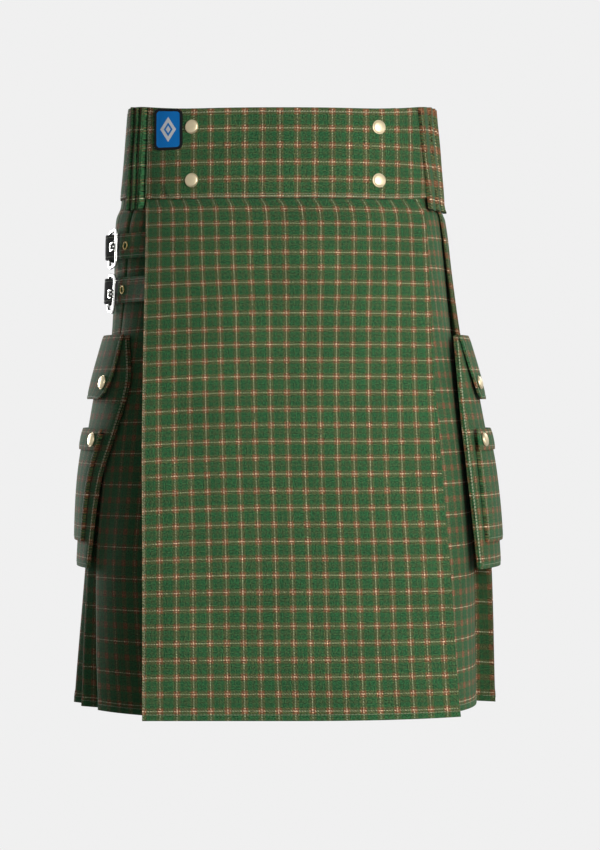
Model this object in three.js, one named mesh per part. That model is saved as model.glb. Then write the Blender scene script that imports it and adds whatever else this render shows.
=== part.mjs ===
// A utility kilt in checked twill, as worn, with no wearer: waistband, two aprons, knife pleats,
// side tucks, two straps with buckles, two cargo pockets, snaps and a patch.
// Millimetres. +Z is up, the front faces -Y, and the origin is the middle of the waistband's ring.
import * as THREE from "three";

// Driving sizes
const bandTop = 46; // the waistband is 92 mm high, half of it above the origin
const seamFront = -46; // the waistband's lower edge at the front
const seamRise = 5; // how much higher that edge lies at the sides and back
const topRise = 7; // how much higher the waistband's upper edge lies there
const hem = -564;
const cloth = 1.5; // one layer of twill
const band = 3; // the waistband's folded layers
const seam = 0.3; // what parts two sewn pieces
const lapDepth = band + 0.5; // how far the waistband's start lies behind its end

// The outline of the waistband and of the cloth below it, at each height.
// left, right, front and back are reaches from x = 0 and y = 0. centreY is where the outline is
// widest, and power is its roundness: 2 is an ellipse, and more is squarer.
const outlineRows = [
  { z: 46, left: 159, right: 157, front: 103, back: 103, centreY: 0, power: 2.3 },
  { z: 0, left: 163, right: 161, front: 106.5, back: 106.5, centreY: 0, power: 2.3 },
  { z: -41, left: 166.5, right: 164.5, front: 109.5, back: 109.5, centreY: 0, power: 2.3 },
  { z: -46, left: 166.5, right: 164.5, front: 109.5, back: 109.5, centreY: 0, power: 2.3 },
  { z: -62, left: 173, right: 170.5, front: 116, back: 114, centreY: 1, power: 2.3 },
  { z: -120, left: 175.5, right: 178, front: 138, back: 120, centreY: 4, power: 2.3 },
  { z: -170, left: 178.5, right: 185, front: 151, back: 125, centreY: 7, power: 2.25 },
  { z: -250, left: 191, right: 199, front: 164, back: 131, centreY: 12, power: 2.2 },
  { z: -330, left: 202, right: 211.5, front: 170, back: 137, centreY: 16, power: 2.2 },
  { z: -430, left: 209, right: 221, front: 174, back: 142, centreY: 19, power: 2.2 },
  { z: -564, left: 221, right: 225, front: 178, back: 148, centreY: 22, power: 2.2 },
];

// The outer apron at each height: how far it stands forward in the middle, the x of its two side
// edges, and how far each edge lies behind the middle.
const apronRows = [
  { z: -46, front: 108.4, leftX: -139, leftBack: 40, rightX: 141, rightBack: 43 },
  { z: -53, front: 114, leftX: -139, leftBack: 39, rightX: 143, rightBack: 43 },
  { z: -70, front: 123, leftX: -138.5, leftBack: 36, rightX: 146, rightBack: 43 },
  { z: -98, front: 136, leftX: -138, leftBack: 33, rightX: 147, rightBack: 43 },
  { z: -147, front: 155, leftX: -137.5, leftBack: 25, rightX: 149, rightBack: 42 },
  { z: -196, front: 167, leftX: -137.5, leftBack: 17, rightX: 150.5, rightBack: 41 },
  { z: -245, front: 177, leftX: -137.5, leftBack: 11, rightX: 153, rightBack: 40 },
  { z: -294, front: 185, leftX: -137.5, leftBack: 7, rightX: 156.5, rightBack: 39 },
  { z: -340, front: 189, leftX: -137, leftBack: 4, rightX: 159.6, rightBack: 38 },
  { z: -430, front: 190, leftX: -136.5, leftBack: 2, rightX: 167.4, rightBack: 37 },
  { z: -500, front: 190, leftX: -136.5, leftBack: 1, rightX: 171.5, rightBack: 36 },
  { z: -564, front: 190, leftX: -136.5, leftBack: 0, rightX: 176.3, rightBack: 36 },
];
const apronBow = 2.6; // how late the outer apron curves back towards its edges
const apronReturn = 52; // the fold behind the outer apron's right edge

// Where the under apron's folded edge and the frontmost pleat on the right lie, at each height.
// open is how far the pleats have opened, from 0, pressed flat, to 1 at the hem.
const pleatRows = [
  { z: -46, leftFoldX: -153, rightCrestX: 161, open: 0 },
  { z: -62, leftFoldX: -156, rightCrestX: 166, open: 0.04 },
  { z: -120, leftFoldX: -159, rightCrestX: 174, open: 0.16 },
  { z: -170, leftFoldX: -164, rightCrestX: 181, open: 0.28 },
  { z: -250, leftFoldX: -175, rightCrestX: 195, open: 0.46 },
  { z: -330, leftFoldX: -184, rightCrestX: 207.5, open: 0.64 },
  { z: -430, leftFoldX: -191, rightCrestX: 217, open: 0.83 },
  { z: -500, leftFoldX: -190, rightCrestX: 220, open: 0.93 },
  { z: -564, leftFoldX: -187, rightCrestX: 222, open: 1 },
];
const pleatCount = 18;
const pleatUnder = 22; // the cloth folded under each pleat
const layerStep = cloth + 0.55; // from one pressed layer to the next

// One pleat, from its crest to the next. along is measured from the crest towards the next one, in
// mm, or as a share of the pleat's width where share is given. deep is the depth below the outline.
// The first pair of values is the pressed pleat at the waist, and the second is the open one.
const pleatPath = [
  { along: [0, 0], share: [0, 0], deep: [0, 0] },
  { along: [0, -1.4], share: [0, 0], deep: [layerStep, 3.2] },
  { along: [-pleatUnder / 2, -3.6], share: [0, 0], deep: [layerStep, 11.5] },
  { along: [-pleatUnder, -6], share: [0, 0], deep: [layerStep, 20.6] },
  { along: [-pleatUnder, -4.2], share: [0, 0], deep: [2 * layerStep, 23] },
  { along: [-pleatUnder / 2, 1.5], share: [0, 0], deep: [2 * layerStep, 21.4] },
  { along: [0.6, 0], share: [0, 0.2], deep: [2 * layerStep, 18.2] },
  { along: [7, 0], share: [0, 0.6], deep: [0.1, 9.4] },
];
const innerFold = 3; // a seam between two cut lengths lies after this point of a pleat's path

// Tucks over the waistband's sides
const tuckCount = 3;
const tuckWidths = { left: 9, right: 20 };
const tuckBottom = -53;
const tuckRows = [
  { z: 45.6, leftX: -139.5, rightX: 138.5 },
  { z: -46, leftX: -143, rightX: 148.5 },
  { z: -62, leftX: -143.5, rightX: 150 },
];
// One tuck across: share of its width, and how far its outside stands off the waistband
const tuckPath = [
  { share: 0, out: 1.7 },
  { share: 0.05, out: 4.7 },
  { share: 0.45, out: 4.3 },
  { share: 0.95, out: 2.6 },
];

// Snap studs
const stud = { radius: 7.2, rim: 0.9, height: 3.1 };
const bandStuds = [
  { name: "stud_band_left_top", x: -91.5, z: 27.3 },
  { name: "stud_band_left_bottom", x: -91.5, z: -27.3 },
  { name: "stud_band_right_top", x: 98, z: 27.3 },
  { name: "stud_band_right_bottom", x: 98, z: -27.3 },
];

// The patch on the waistband
const patch = { fromX: -130, toX: -101, top: 45.6, bottom: 4.5, corner: 6, thick: 1.4 };

// The two straps on the left hip, each 26 mm wide
const straps = [
  { name: "upper", z: -92 },
  { name: "lower", z: -137.3 },
];
const strapWidth = 26;
const strapThick = 2.4;
const buckle = { high: 41, long: 30, bar: 3.6, thick: 3, corner: 7, start: 14, out: 5 };
const prong = { long: 27, wide: 3, thick: 2, nearLift: 2.9, farLift: 6.3, inset: 1.5 };
const chapeThick = 1.5;
const chapeRoute = [
  { past: -6, out: 0.5 },
  { past: 4, out: 0.5 },
  { past: 12, out: 0.5 },
  { past: 24, out: 0.5 },
];
// A strap's route: the distance behind the under apron's fold, and how far its inside stands off
const strapRoute = [
  { from: 0, out: 0.6 },
  { from: 8, out: 0.6 },
  { from: 15, out: 0.6 },
  { from: 21, out: 1.2 },
  { from: 28, out: 3.3 },
  { from: 36, out: 6.2 },
  { from: 40.5, out: 7.9 },
  { from: 45, out: 7.9 },
  { from: 56, out: 3.8 },
  { from: 66, out: 2.6 },
  { from: 82, out: 2.6 },
  { from: 98, out: 2.6 },
];
const eyelet = { outer: 4.6, inner: 2.3, thick: 1 };
const eyeletPlaces = [3, 64, 86];

// The cargo pockets: the y where each pocket's front and back edge meet the outline, at each height
const pocketFrontRows = [
  { z: -184, leftY: -86, rightY: -62 },
  { z: -236, leftY: -100, rightY: -73 },
  { z: -282, leftY: -92, rightY: -80 },
  { z: -338, leftY: -74, rightY: -83 },
  { z: -380, leftY: -68, rightY: -83 },
  { z: -422, leftY: -64, rightY: -82 },
];
const pocketBackRows = [
  { z: -184, leftY: 90, rightY: 94 },
  { z: -422, leftY: 100, rightY: 94 },
];
// Each piece of a pocket: its heights, how far its front side and its back side lie inside the
// pocket's edges at the top and the bottom, how far its inside stands off the skirt there, its
// thickness, its crown and how much of its lower corners is cut off.
const pocketPieces = [
  {
    name: "back", top: -184, bottom: -421, front: [0, 0], behind: [0, 0],
    off: [1.3, 4.3], thick: 1.6, crown: 0, cut: 0,
  },
  {
    name: "bag", top: -185, bottom: -422, front: [0.4, 0.4], behind: [0.4, 0.4],
    off: [3.2, 6.2], thick: 1.9, crown: 2.6, cut: 0,
  },
  {
    name: "flap", top: -183, bottom: -249, front: [3.5, 31], behind: [3.5, 14],
    off: [5.8, 12.5], thick: 2, crown: 1.5, cut: 7,
  },
  {
    name: "pouch", top: -284, bottom: -395, front: [16, 15], behind: [26, 26],
    off: [8.8, 9], thick: 3.4, crown: 2, cut: 0,
  },
  {
    name: "pouch_flap", top: -279, bottom: -301, front: [13, 11], behind: [23, 23],
    off: [12.6, 13.7], thick: 2, crown: 0.6, cut: 0,
  },
];
const pocketStep = 34;
const pocketStuds = [
  { on: "flap", z: -232, inset: 12 },
  { on: "pouch_flap", z: -290.5, inset: 12 },
];

// Plain looks for each material
const twill = new THREE.MeshStandardMaterial({ color: 0x4b5f3c, roughness: 0.9, metalness: 0 });
const brass = new THREE.MeshStandardMaterial({ color: 0xcdb995, roughness: 0.3, metalness: 1 });
const nickel = new THREE.MeshStandardMaterial({ color: 0xd9d6cf, roughness: 0.2, metalness: 1 });
const felt = new THREE.MeshStandardMaterial({ color: 0x0f6cb0, roughness: 0.8, metalness: 0 });

const kilt = new THREE.Group();

function addMesh(name, geometry, material, parent = kilt) {
  const mesh = new THREE.Mesh(geometry, material);
  mesh.name = name;
  parent.add(mesh);
  return mesh;
}

const mix = (a, b, share) => a + (b - a) * share;

function smooth(share) {
  const s = Math.min(1, Math.max(0, share));
  return s * s * (3 - 2 * s);
}

// A table's value at height z, on a curve through its rows that never swings past them
function valueAt(rows, key, z) {
  const last = rows.length - 1;
  if (z >= rows[0].z) return rows[0][key];
  if (z <= rows[last].z) return rows[last][key];
  const i = rows.findIndex((row) => row.z < z) - 1;
  const rise = (k) => (rows[k + 1][key] - rows[k][key]) / (rows[k + 1].z - rows[k].z);
  const slopeAt = (k) => {
    if (k === 0) return rise(0);
    if (k === last) return rise(last - 1);
    const before = rise(k - 1);
    const after = rise(k);
    return before * after <= 0 ? 0 : (2 * before * after) / (before + after);
  };
  const gap = rows[i + 1].z - rows[i].z;
  const s = (z - rows[i].z) / gap;
  const toNext = s * s * (3 - 2 * s);
  const easeOut = s * (1 - s) * (1 - s);
  const easeIn = -s * s * (1 - s);
  return (
    mix(rows[i][key], rows[i + 1][key], toNext) +
    gap * (easeOut * slopeAt(i) + easeIn * slopeAt(i + 1))
  );
}

// The outline at a height, as points a degree apart, clockwise seen from above, from the middle of
// the front to the left, the back and the right. lengths holds the way round to each point.
const rings = new Map();
function ringAt(z) {
  if (rings.has(z)) return rings.get(z);
  const row = {};
  for (const key of ["left", "right", "front", "back", "centreY", "power"])
    row[key] = valueAt(outlineRows, key, z);
  const points = [];
  const lengths = [0];
  for (let degree = 0; degree <= 360; degree += 1) {
    const turn = THREE.MathUtils.degToRad(degree);
    const across = Math.sign(Math.sin(turn)) * Math.abs(Math.sin(turn)) ** (2 / row.power);
    const along = Math.sign(Math.cos(turn)) * Math.abs(Math.cos(turn)) ** (2 / row.power);
    const x = -across * (across > 0 ? row.left : row.right);
    const reach = along > 0 ? row.front + row.centreY : row.back - row.centreY;
    points.push({ x, y: row.centreY - along * reach });
  }
  for (let i = 1; i < points.length; i += 1)
    lengths.push(lengths[i - 1] + Math.hypot(points[i].x - points[i - 1].x, points[i].y - points[i - 1].y));
  const ring = { points, lengths, total: lengths[lengths.length - 1] };
  rings.set(z, ring);
  return ring;
}

// The way round to the first point, between two degrees, where a coordinate passes a value
function wayTo(z, key, value, fromDegree, toDegree) {
  const { points, lengths } = ringAt(z);
  for (let i = fromDegree; i < toDegree; i += 1) {
    const a = points[i][key];
    const b = points[i + 1][key];
    if ((a - value) * (b - value) <= 0 && a !== b)
      return mix(lengths[i], lengths[i + 1], (value - a) / (b - a));
  }
  throw new Error(`the outline at z ${z} never has ${key} ${value}`);
}
const wayToFrontX = (z, x) => (x < 0 ? wayTo(z, "x", x, 0, 90) : wayTo(z, "x", x, 270, 360));
const wayToLeftY = (z, y) => wayTo(z, "y", y, 20, 180);
const wayToRightY = (z, y) => wayTo(z, "y", y, 180, 340);

// A point on the outline, a way round from the front, moved out along the outline's normal
function onOutline(z, way, out = 0) {
  const { points, lengths, total } = ringAt(z);
  const here = ((way % total) + total) % total;
  let i = Math.min(359, Math.floor((here / total) * 360));
  while (lengths[i] > here) i -= 1;
  while (lengths[i + 1] < here) i += 1;
  const share = (here - lengths[i]) / (lengths[i + 1] - lengths[i]);
  const a = points[i];
  const b = points[i + 1];
  const before = points[(i + 359) % 360];
  const after = points[(i + 2) % 360];
  const tangentX = mix(b.x - before.x, after.x - a.x, share);
  const tangentY = mix(b.y - before.y, after.y - a.y, share);
  const size = Math.hypot(tangentX, tangentY);
  const normal = { x: -tangentY / size, y: tangentX / size };
  return {
    x: mix(a.x, b.x, share) + normal.x * out,
    y: mix(a.y, b.y, share) + normal.y * out,
    normal,
  };
}

// The level of the seam between the waistband and the skirt, which rises from front to side, and
// the levels above it on the waistband, which rise towards its upper edge
const towardsSide = (y) => smooth((y + 95) / 60);
const seamLevel = (y) => seamFront + seamRise * towardsSide(y);
const bandLevel = (z, y) => z + topRise * (Math.max(0, z) / bandTop) * towardsSide(y);

// A closed wall between two grids of [x, y, z] points. Seen from outside, a row runs from right to
// left and the rows run downwards.
function wallGeometry(outside, inside) {
  const rows = outside.length;
  const columns = outside[0].length;
  const positions = [...outside.flat(), ...inside.flat()].flat();
  const index = [];
  const at = (side, row, column) => side * rows * columns + row * columns + column;
  const face = (a, b, c, d) => index.push(a, b, c, a, c, d);
  for (let r = 0; r < rows - 1; r += 1)
    for (let c = 0; c < columns - 1; c += 1) {
      face(at(0, r, c), at(0, r, c + 1), at(0, r + 1, c + 1), at(0, r + 1, c));
      face(at(1, r, c), at(1, r + 1, c), at(1, r + 1, c + 1), at(1, r, c + 1));
    }
  for (let c = 0; c < columns - 1; c += 1) {
    face(at(0, 0, c), at(1, 0, c), at(1, 0, c + 1), at(0, 0, c + 1));
    face(at(0, rows - 1, c), at(0, rows - 1, c + 1), at(1, rows - 1, c + 1), at(1, rows - 1, c));
  }
  for (let r = 0; r < rows - 1; r += 1) {
    face(at(0, r, 0), at(0, r + 1, 0), at(1, r + 1, 0), at(1, r, 0));
    face(at(0, r, columns - 1), at(1, r, columns - 1), at(1, r + 1, columns - 1), at(0, r + 1, columns - 1));
  }
  const geometry = new THREE.BufferGeometry();
  geometry.setAttribute("position", new THREE.Float32BufferAttribute(positions, 3));
  geometry.setIndex(index);
  geometry.computeVertexNormals();
  return geometry;
}

// A route in plan moved sideways, with its corners kept sharp. Positive is out.
function besideRoute(route, aside) {
  const last = route.length - 1;
  const normalOf = (i) => {
    const dx = route[i + 1].x - route[i].x;
    const dy = route[i + 1].y - route[i].y;
    const size = Math.hypot(dx, dy);
    return { x: -dy / size, y: dx / size };
  };
  return route.map((point, i) => {
    const a = normalOf(Math.max(0, i - 1));
    const b = normalOf(Math.min(last - 1, i));
    const spread = Math.max(0.35, 1 + a.x * b.x + a.y * b.y);
    return { x: point.x + (aside * (a.x + b.x)) / spread, y: point.y + (aside * (a.y + b.y)) / spread };
  });
}

// A wall of one thickness that follows a route in plan at each height. levelOf gives a point's z.
function routeWall(heights, routeAt, thick, levelOf = (z) => z) {
  const sides = [thick / 2, -thick / 2].map((aside) =>
    heights.map((z, row) => besideRoute(routeAt(z), aside).map((p) => [p.x, p.y, levelOf(z, p, row)])),
  );
  return wallGeometry(sides[0], sides[1]);
}

// A wall that lies on the outline between two ways round. outsideOf and insideOf give how far it
// stands off, for a share across and a height.
function outlineWall(heights, columns, waysAt, insideOf, outsideOf, levelOf = (z) => z) {
  const grid = (offOf) =>
    heights.map((z) => {
      const [from, to] = waysAt(z);
      return columns.map((share) => {
        const p = onOutline(z, mix(from, to, share), offOf(share, z));
        return [p.x, p.y, levelOf(z, p.y)];
      });
    });
  return wallGeometry(grid(outsideOf), grid(insideOf));
}

const steps = (from, to, count) => Array.from({ length: count + 1 }, (_, i) => mix(from, to, i / count));

// Seats an object on a surface: its z axis points out, and its y axis up along the surface.
// pointAt gives the surface's [x, y, z] a step up and a step along from the place.
function seatOn(object, pointAt, lift) {
  const reach = 5;
  const vector = (up, along) => new THREE.Vector3(...pointAt(up, along));
  const up = vector(reach, 0).sub(vector(-reach, 0)).normalize();
  const along = vector(0, reach).sub(vector(0, -reach)).normalize();
  const outward = new THREE.Vector3().crossVectors(up, along).normalize();
  const across = new THREE.Vector3().crossVectors(up, outward);
  object.position.copy(vector(0, 0)).addScaledVector(outward, lift);
  object.quaternion.setFromRotationMatrix(new THREE.Matrix4().makeBasis(across, up, outward));
  return object;
}

// How deep the waistband lies on the left: by the whole lap up to its end, then less and less
function lapAt(z, way) {
  const leftSide = wayToLeftY(z, -30);
  const lapEnd = wayToFrontX(z, -142);
  return lapDepth * (1 - smooth((way - lapEnd - 12) / (leftSide - lapEnd)));
}

// The waistband is one length: it starts behind the front, goes round the left, the back and the
// right, and ends over its own start at the left of the front.
function addWaistband() {
  const innerEndX = 118;
  const endX = (z) => mix(-141, -138, (z - seamFront) / (bandTop - seamFront));
  const heights = [bandTop, 15, -15, seamFront];
  const count = 90;
  const routeAt = (z) => {
    const { total } = ringAt(z);
    const start = wayToFrontX(z, innerEndX) - total;
    const end = total + wayToFrontX(z, endX(z));
    return steps(start, end, count).map((way) => onOutline(z, way, -band / 2 - lapAt(z, way)));
  };
  const levelOf = (z, p) => (z === seamFront ? seamLevel(p.y) : bandLevel(z, p.y));
  addMesh("waistband", routeWall(heights, routeAt, band, levelOf), twill);
}

// The outer apron's plan at a height, from its free left edge, across the front, to its folded
// right edge and back behind it
function apronPoint(z, x) {
  const front = valueAt(apronRows, "front", z);
  const edgeX = valueAt(apronRows, x < 0 ? "leftX" : "rightX", z);
  const back = valueAt(apronRows, x < 0 ? "leftBack" : "rightBack", z);
  return { x, y: -front + cloth / 2 + back * Math.abs(x / edgeX) ** apronBow };
}
const returnGap = (z) => mix(layerStep, 5.5, smooth((seamFront - z) / 420));

function apronReturnEnd(z) {
  const p = apronPoint(z, valueAt(apronRows, "rightX", z) - apronReturn);
  return { x: p.x, y: p.y + returnGap(z) };
}

const apronHeights = [-46, -53, -70, -98, -147, -196, -245, -294, -340, -430, hem];

function addOuterApron() {
  const routeAt = (z) => {
    const rightX = valueAt(apronRows, "rightX", z);
    const leftX = valueAt(apronRows, "leftX", z);
    const face = steps(leftX, rightX, 22).map((x) => apronPoint(z, x));
    const gap = returnGap(z);
    const fold = { x: rightX - 0.3, y: face[22].y + gap };
    const behind = [0.33, 0.66, 1].map((share) => {
      const p = apronPoint(z, rightX - share * apronReturn);
      return { x: p.x, y: p.y + gap };
    });
    return [...face, fold, ...behind].reverse();
  };
  const levelOf = (z, p, row) => (row === 0 ? seamLevel(p.y) - seam : z);
  addMesh("apron_outer", routeWall(apronHeights, routeAt, cloth, levelOf), twill);
}

// The pleated skirt: the ways round to its crests at a height
const crestInset = cloth / 2 + 0.1;
const underInset = band + 0.5 + band / 2;
function crestWay(z, k) {
  const from = wayToFrontX(z, valueAt(pleatRows, "leftFoldX", z));
  const to = wayToFrontX(z, valueAt(pleatRows, "rightCrestX", z));
  return mix(from, to, k / pleatCount);
}

// A point of pleat k's path. The first pleats rise from the under apron's depth to the outline.
function pleatPoint(z, k, { along, share, deep }) {
  const open = valueAt(pleatRows, "open", z);
  const crest = crestWay(z, k);
  const width = crestWay(z, k + 1) - crest;
  const shareHere = mix(share[0], share[1], open);
  const way = crest + mix(along[0], along[1], open) + shareHere * width;
  const under = 1 - smooth((k + shareHere) / 3);
  const waistInset = under * (underInset - crestInset) * (1 - smooth((seamFront - z) / 70));
  return onOutline(z, way, -crestInset - waistInset - mix(deep[0], deep[1], open));
}

const skirtHeights = [-46, -50, tuckBottom, -72, -110, -170, -250, -330, -430, hem];
const skirtLevel = (z, p, row) => (row === 0 ? seamLevel(p.y) - seam : z);

// The under apron runs from its free edge, behind the outer apron, to the fold on the left
function addUnderApron() {
  const freeEdgeX = 70;
  const routeAt = (z) => {
    const start = wayToFrontX(z, freeEdgeX) - ringAt(z).total;
    const fold = crestWay(z, 0);
    const waistInset = (underInset - crestInset) * (1 - smooth((seamFront - z) / 70));
    const face = steps(start, fold, 15).slice(0, -1);
    return [
      ...face.map((way) => onOutline(z, way, -crestInset - waistInset)),
      ...pleatPath.slice(0, innerFold + 1).map((step) => pleatPoint(z, 0, step)),
    ];
  };
  addMesh("apron_under", routeWall(skirtHeights, routeAt, cloth, skirtLevel), twill);
}

// A cut length of the pleated skirt, from the inner fold of one pleat to the inner fold of another
function pleatRoute(z, from, to) {
  const route = pleatPath.slice(innerFold + 1).map((step) => pleatPoint(z, from, step));
  for (let k = from + 1; k < to; k += 1) route.push(...pleatPath.map((step) => pleatPoint(z, k, step)));
  route.push(...pleatPath.slice(0, innerFold + 1).map((step) => pleatPoint(z, to, step)));
  return route;
}

function addPleats() {
  const lengths = [
    { name: "pleats_left", from: 0, to: 5 },
    { name: "pleats_back_left", from: 5, to: 9 },
    { name: "pleats_back_right", from: 9, to: 13 },
    { name: "pleats_right", from: 13, to: pleatCount },
  ];
  for (const { name, from, to } of lengths)
    addMesh(name, routeWall(skirtHeights, (z) => pleatRoute(z, from, to), cloth, skirtLevel), twill);
}

// The panel under the outer apron's right edge joins the last pleat to the fold behind that edge
function addSidePanel() {
  const routeAt = (z) => {
    const open = valueAt(pleatRows, "open", z);
    const crest = crestWay(z, pleatCount);
    const end = apronReturnEnd(z);
    const endStep = layerStep + 0.7;
    const endWay = wayToFrontX(z, end.x);
    const endPoint = { x: end.x, y: end.y + endStep };
    const onEnd = onOutline(z, endWay, 0);
    const endDeep = (endPoint.x - onEnd.x) * -onEnd.normal.x + (endPoint.y - onEnd.y) * -onEnd.normal.y;
    const last = pleatPath.slice(innerFold + 1, innerFold + 3);
    const start = last.map((step) => pleatPoint(z, pleatCount, step));
    const valley = { way: crest + mix(0.6, 8, open), deep: crestInset + mix(2 * layerStep, 19.5, open) };
    const across = [0, 0.14, 0.3, 0.46, 0.62, 0.8].map((share) =>
      onOutline(z, mix(valley.way, endWay, share), -mix(valley.deep, endDeep, share ** 1.15)),
    );
    return [...start, ...across, endPoint];
  };
  addMesh("side_panel", routeWall(skirtHeights, routeAt, cloth, skirtLevel), twill);
}

// Each side of the waistband carries a strip pressed into tucks, whose folds face the front
function addTucks(side) {
  const heights = [45.6, 15, -15, -41, -46, -50, tuckBottom];
  const across = [];
  for (let k = 0; k < tuckCount; k += 1)
    for (const { share, out } of tuckPath) across.push({ share: (k + share) / tuckCount, out });
  across.push({ share: 1, out: tuckPath[0].out });
  if (side === "right") {
    across.reverse();
    across.forEach((step) => (step.share = 1 - step.share));
  }
  const waysAt = (z) => {
    const width = tuckCount * tuckWidths[side];
    const edge = wayToFrontX(z, valueAt(tuckRows, side + "X", z));
    return side === "left" ? [edge, edge + width] : [edge - width, edge];
  };
  const outs = new Map(across.map(({ share, out }) => [share, out]));
  const insideOf = (share, z) => 2 * seam - (side === "left" ? lapAt(z, mix(...waysAt(z), share)) : 0);
  const geometry = outlineWall(
    heights,
    [...outs.keys()],
    waysAt,
    insideOf,
    (share) => outs.get(share),
    bandLevel,
  );
  addMesh("tucks_" + side, geometry, twill);
}

// A snap stud's cap: a low dome over a rolled rim
function studGeometry() {
  const { radius, rim, height } = stud;
  const dome = (share) => new THREE.Vector2(radius * share, mix(rim, height, Math.sqrt(1 - share * share)));
  const profile = [
    new THREE.Vector2(0, 0),
    new THREE.Vector2(radius - 0.5, 0),
    new THREE.Vector2(radius, rim / 2),
    new THREE.Vector2(radius - 0.2, rim),
    dome(0.72),
    dome(0.36),
    new THREE.Vector2(0, height),
  ];
  return new THREE.LatheGeometry(profile, 12).rotateX(Math.PI / 2);
}

function addBandStuds() {
  for (const { name, x, z } of bandStuds) {
    const pointAt = (up, along) => {
      const p = onOutline(z + up, wayToFrontX(z + up, x) + along);
      return [p.x, p.y, z + up];
    };
    seatOn(addMesh(name, studGeometry(), brass), pointAt, seam + 0.1);
  }
}

// The patch is a rounded rectangle that lies on the waistband's front
function addPatch() {
  const { fromX, toX, top, bottom, corner, thick } = patch;
  const turns = steps(90, 0, 3).map(THREE.MathUtils.degToRad);
  const upper = turns.map((turn) => ({
    z: top - corner * (1 - Math.sin(turn)),
    pull: corner * (1 - Math.cos(turn)),
  }));
  const lower = upper.map(({ z, pull }) => ({ z: top + bottom - z, pull })).reverse();
  const middle = { z: (top + bottom) / 2, pull: 0 };
  const edges = [...upper, middle, ...lower];
  const pulls = new Map(edges.map(({ z, pull }) => [z, Math.min(pull, corner - 0.6)]));
  const waysAt = (z) => {
    const total = ringAt(z).total;
    return [wayToFrontX(z, toX - pulls.get(z)) - total, wayToFrontX(z, fromX + pulls.get(z)) - total];
  };
  const geometry = outlineWall(
    edges.map(({ z }) => z),
    steps(0, 1, 4),
    waysAt,
    () => seam,
    () => seam + thick,
    bandLevel,
  );
  addMesh("patch", geometry, felt);
}

// A strap is sewn behind the outer apron's free edge, and lies on the skirt from there
function strapWay(z, from) {
  return crestWay(z, 0) + from;
}

function addStrap({ name, z }) {
  const heights = [z + strapWidth / 2, z, z - strapWidth / 2];
  const routeAt = (level) => {
    const behind = [20, 8].map((inside) => {
      const p = apronPoint(level, valueAt(apronRows, "leftX", level) + inside);
      return { x: p.x, y: p.y + cloth / 2 + 1 + strapThick / 2 };
    });
    const middle = strapThick / 2;
    const onSkirt = strapRoute.map(({ from, out }) => onOutline(level, strapWay(level, from), out + middle));
    return [...behind, ...onSkirt];
  };
  addMesh("strap_" + name, routeWall(heights, routeAt, strapThick), twill);
}

// A point on a strap's outside
function strapPoint(z, from) {
  const next = strapRoute.findIndex((step) => step.from > from);
  const a = strapRoute[next - 1];
  const b = strapRoute[next];
  const share = (from - a.from) / (b.from - a.from);
  const start = onOutline(z, strapWay(z, a.from), a.out + strapThick);
  const end = onOutline(z, strapWay(z, b.from), b.out + strapThick);
  return [mix(start.x, end.x, share), mix(start.y, end.y, share), z];
}

// An eyelet is a flat metal ring on the strap
function addEyelets({ name, z }) {
  const { outer, inner, thick } = eyelet;
  const profile = [
    new THREE.Vector2(inner, 0),
    new THREE.Vector2(outer, 0),
    new THREE.Vector2((outer + inner) / 2, thick),
    new THREE.Vector2(inner, 0),
  ];
  eyeletPlaces.forEach((from, i) => {
    const ring = new THREE.LatheGeometry(profile, 12).rotateX(Math.PI / 2);
    const mesh = addMesh(`eyelet_${name}_${i + 1}`, ring, brass);
    seatOn(mesh, (up, along) => strapPoint(z + up, from + along / 2), seam);
  });
}

// A rounded rectangle, as a path about its middle
function roundedRect(path, halfLong, halfHigh, radius) {
  path.moveTo(-halfLong + radius, -halfHigh);
  path.lineTo(halfLong - radius, -halfHigh);
  path.absarc(halfLong - radius, -halfHigh + radius, radius, -Math.PI / 2, 0, false);
  path.absarc(halfLong - radius, halfHigh - radius, radius, 0, Math.PI / 2, false);
  path.absarc(-halfLong + radius, halfHigh - radius, radius, Math.PI / 2, Math.PI, false);
  path.absarc(-halfLong + radius, -halfHigh + radius, radius, Math.PI, Math.PI * 1.5, false);
  return path;
}

// A buckle is a rounded frame. The strap goes under its near bar and over its far bar, where the
// chape meets it, and the prong lies on the strap and the near bar.
function addBuckle({ name, z }) {
  const { high, long, bar, thick, corner, start, out } = buckle;
  const outline = roundedRect(new THREE.Shape(), long / 2, high / 2, corner);
  outline.holes.push(roundedRect(new THREE.Path(), long / 2 - bar, high / 2 - bar, corner - bar));
  const frame = new THREE.ExtrudeGeometry(outline, { depth: thick, bevelEnabled: false, curveSegments: 4 });
  frame.translate(0, 0, -thick / 2);
  const middle = start + long / 2;
  const pointAt = (up, along) => {
    const p = onOutline(z + up, strapWay(z + up, middle) + along);
    return [p.x, p.y, z + up];
  };
  const group = seatOn(new THREE.Group(), pointAt, out);
  kilt.add(group);
  addMesh("buckle_" + name, frame, nickel, group);
  const prongShape = new THREE.BoxGeometry(prong.long, prong.wide, prong.thick);
  prongShape.rotateY(Math.atan2(prong.farLift - prong.nearLift, prong.long));
  prongShape.translate((long - prong.long) / 2 - prong.inset, 0, (prong.farLift + prong.nearLift) / 2);
  addMesh("prong_" + name, prongShape, nickel, group);
}

// A chape is the sewn tab that holds the buckle's far bar
function addChape({ name, z }) {
  const bar = buckle.start + buckle.long;
  const heights = [z + strapWidth / 2 - 1, z, z - strapWidth / 2 + 1];
  const routeAt = (level) =>
    chapeRoute.map(({ past, out }) => onOutline(level, strapWay(level, bar + past), out + chapeThick / 2));
  addMesh("chape_" + name, routeWall(heights, routeAt, chapeThick), twill);
}

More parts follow.
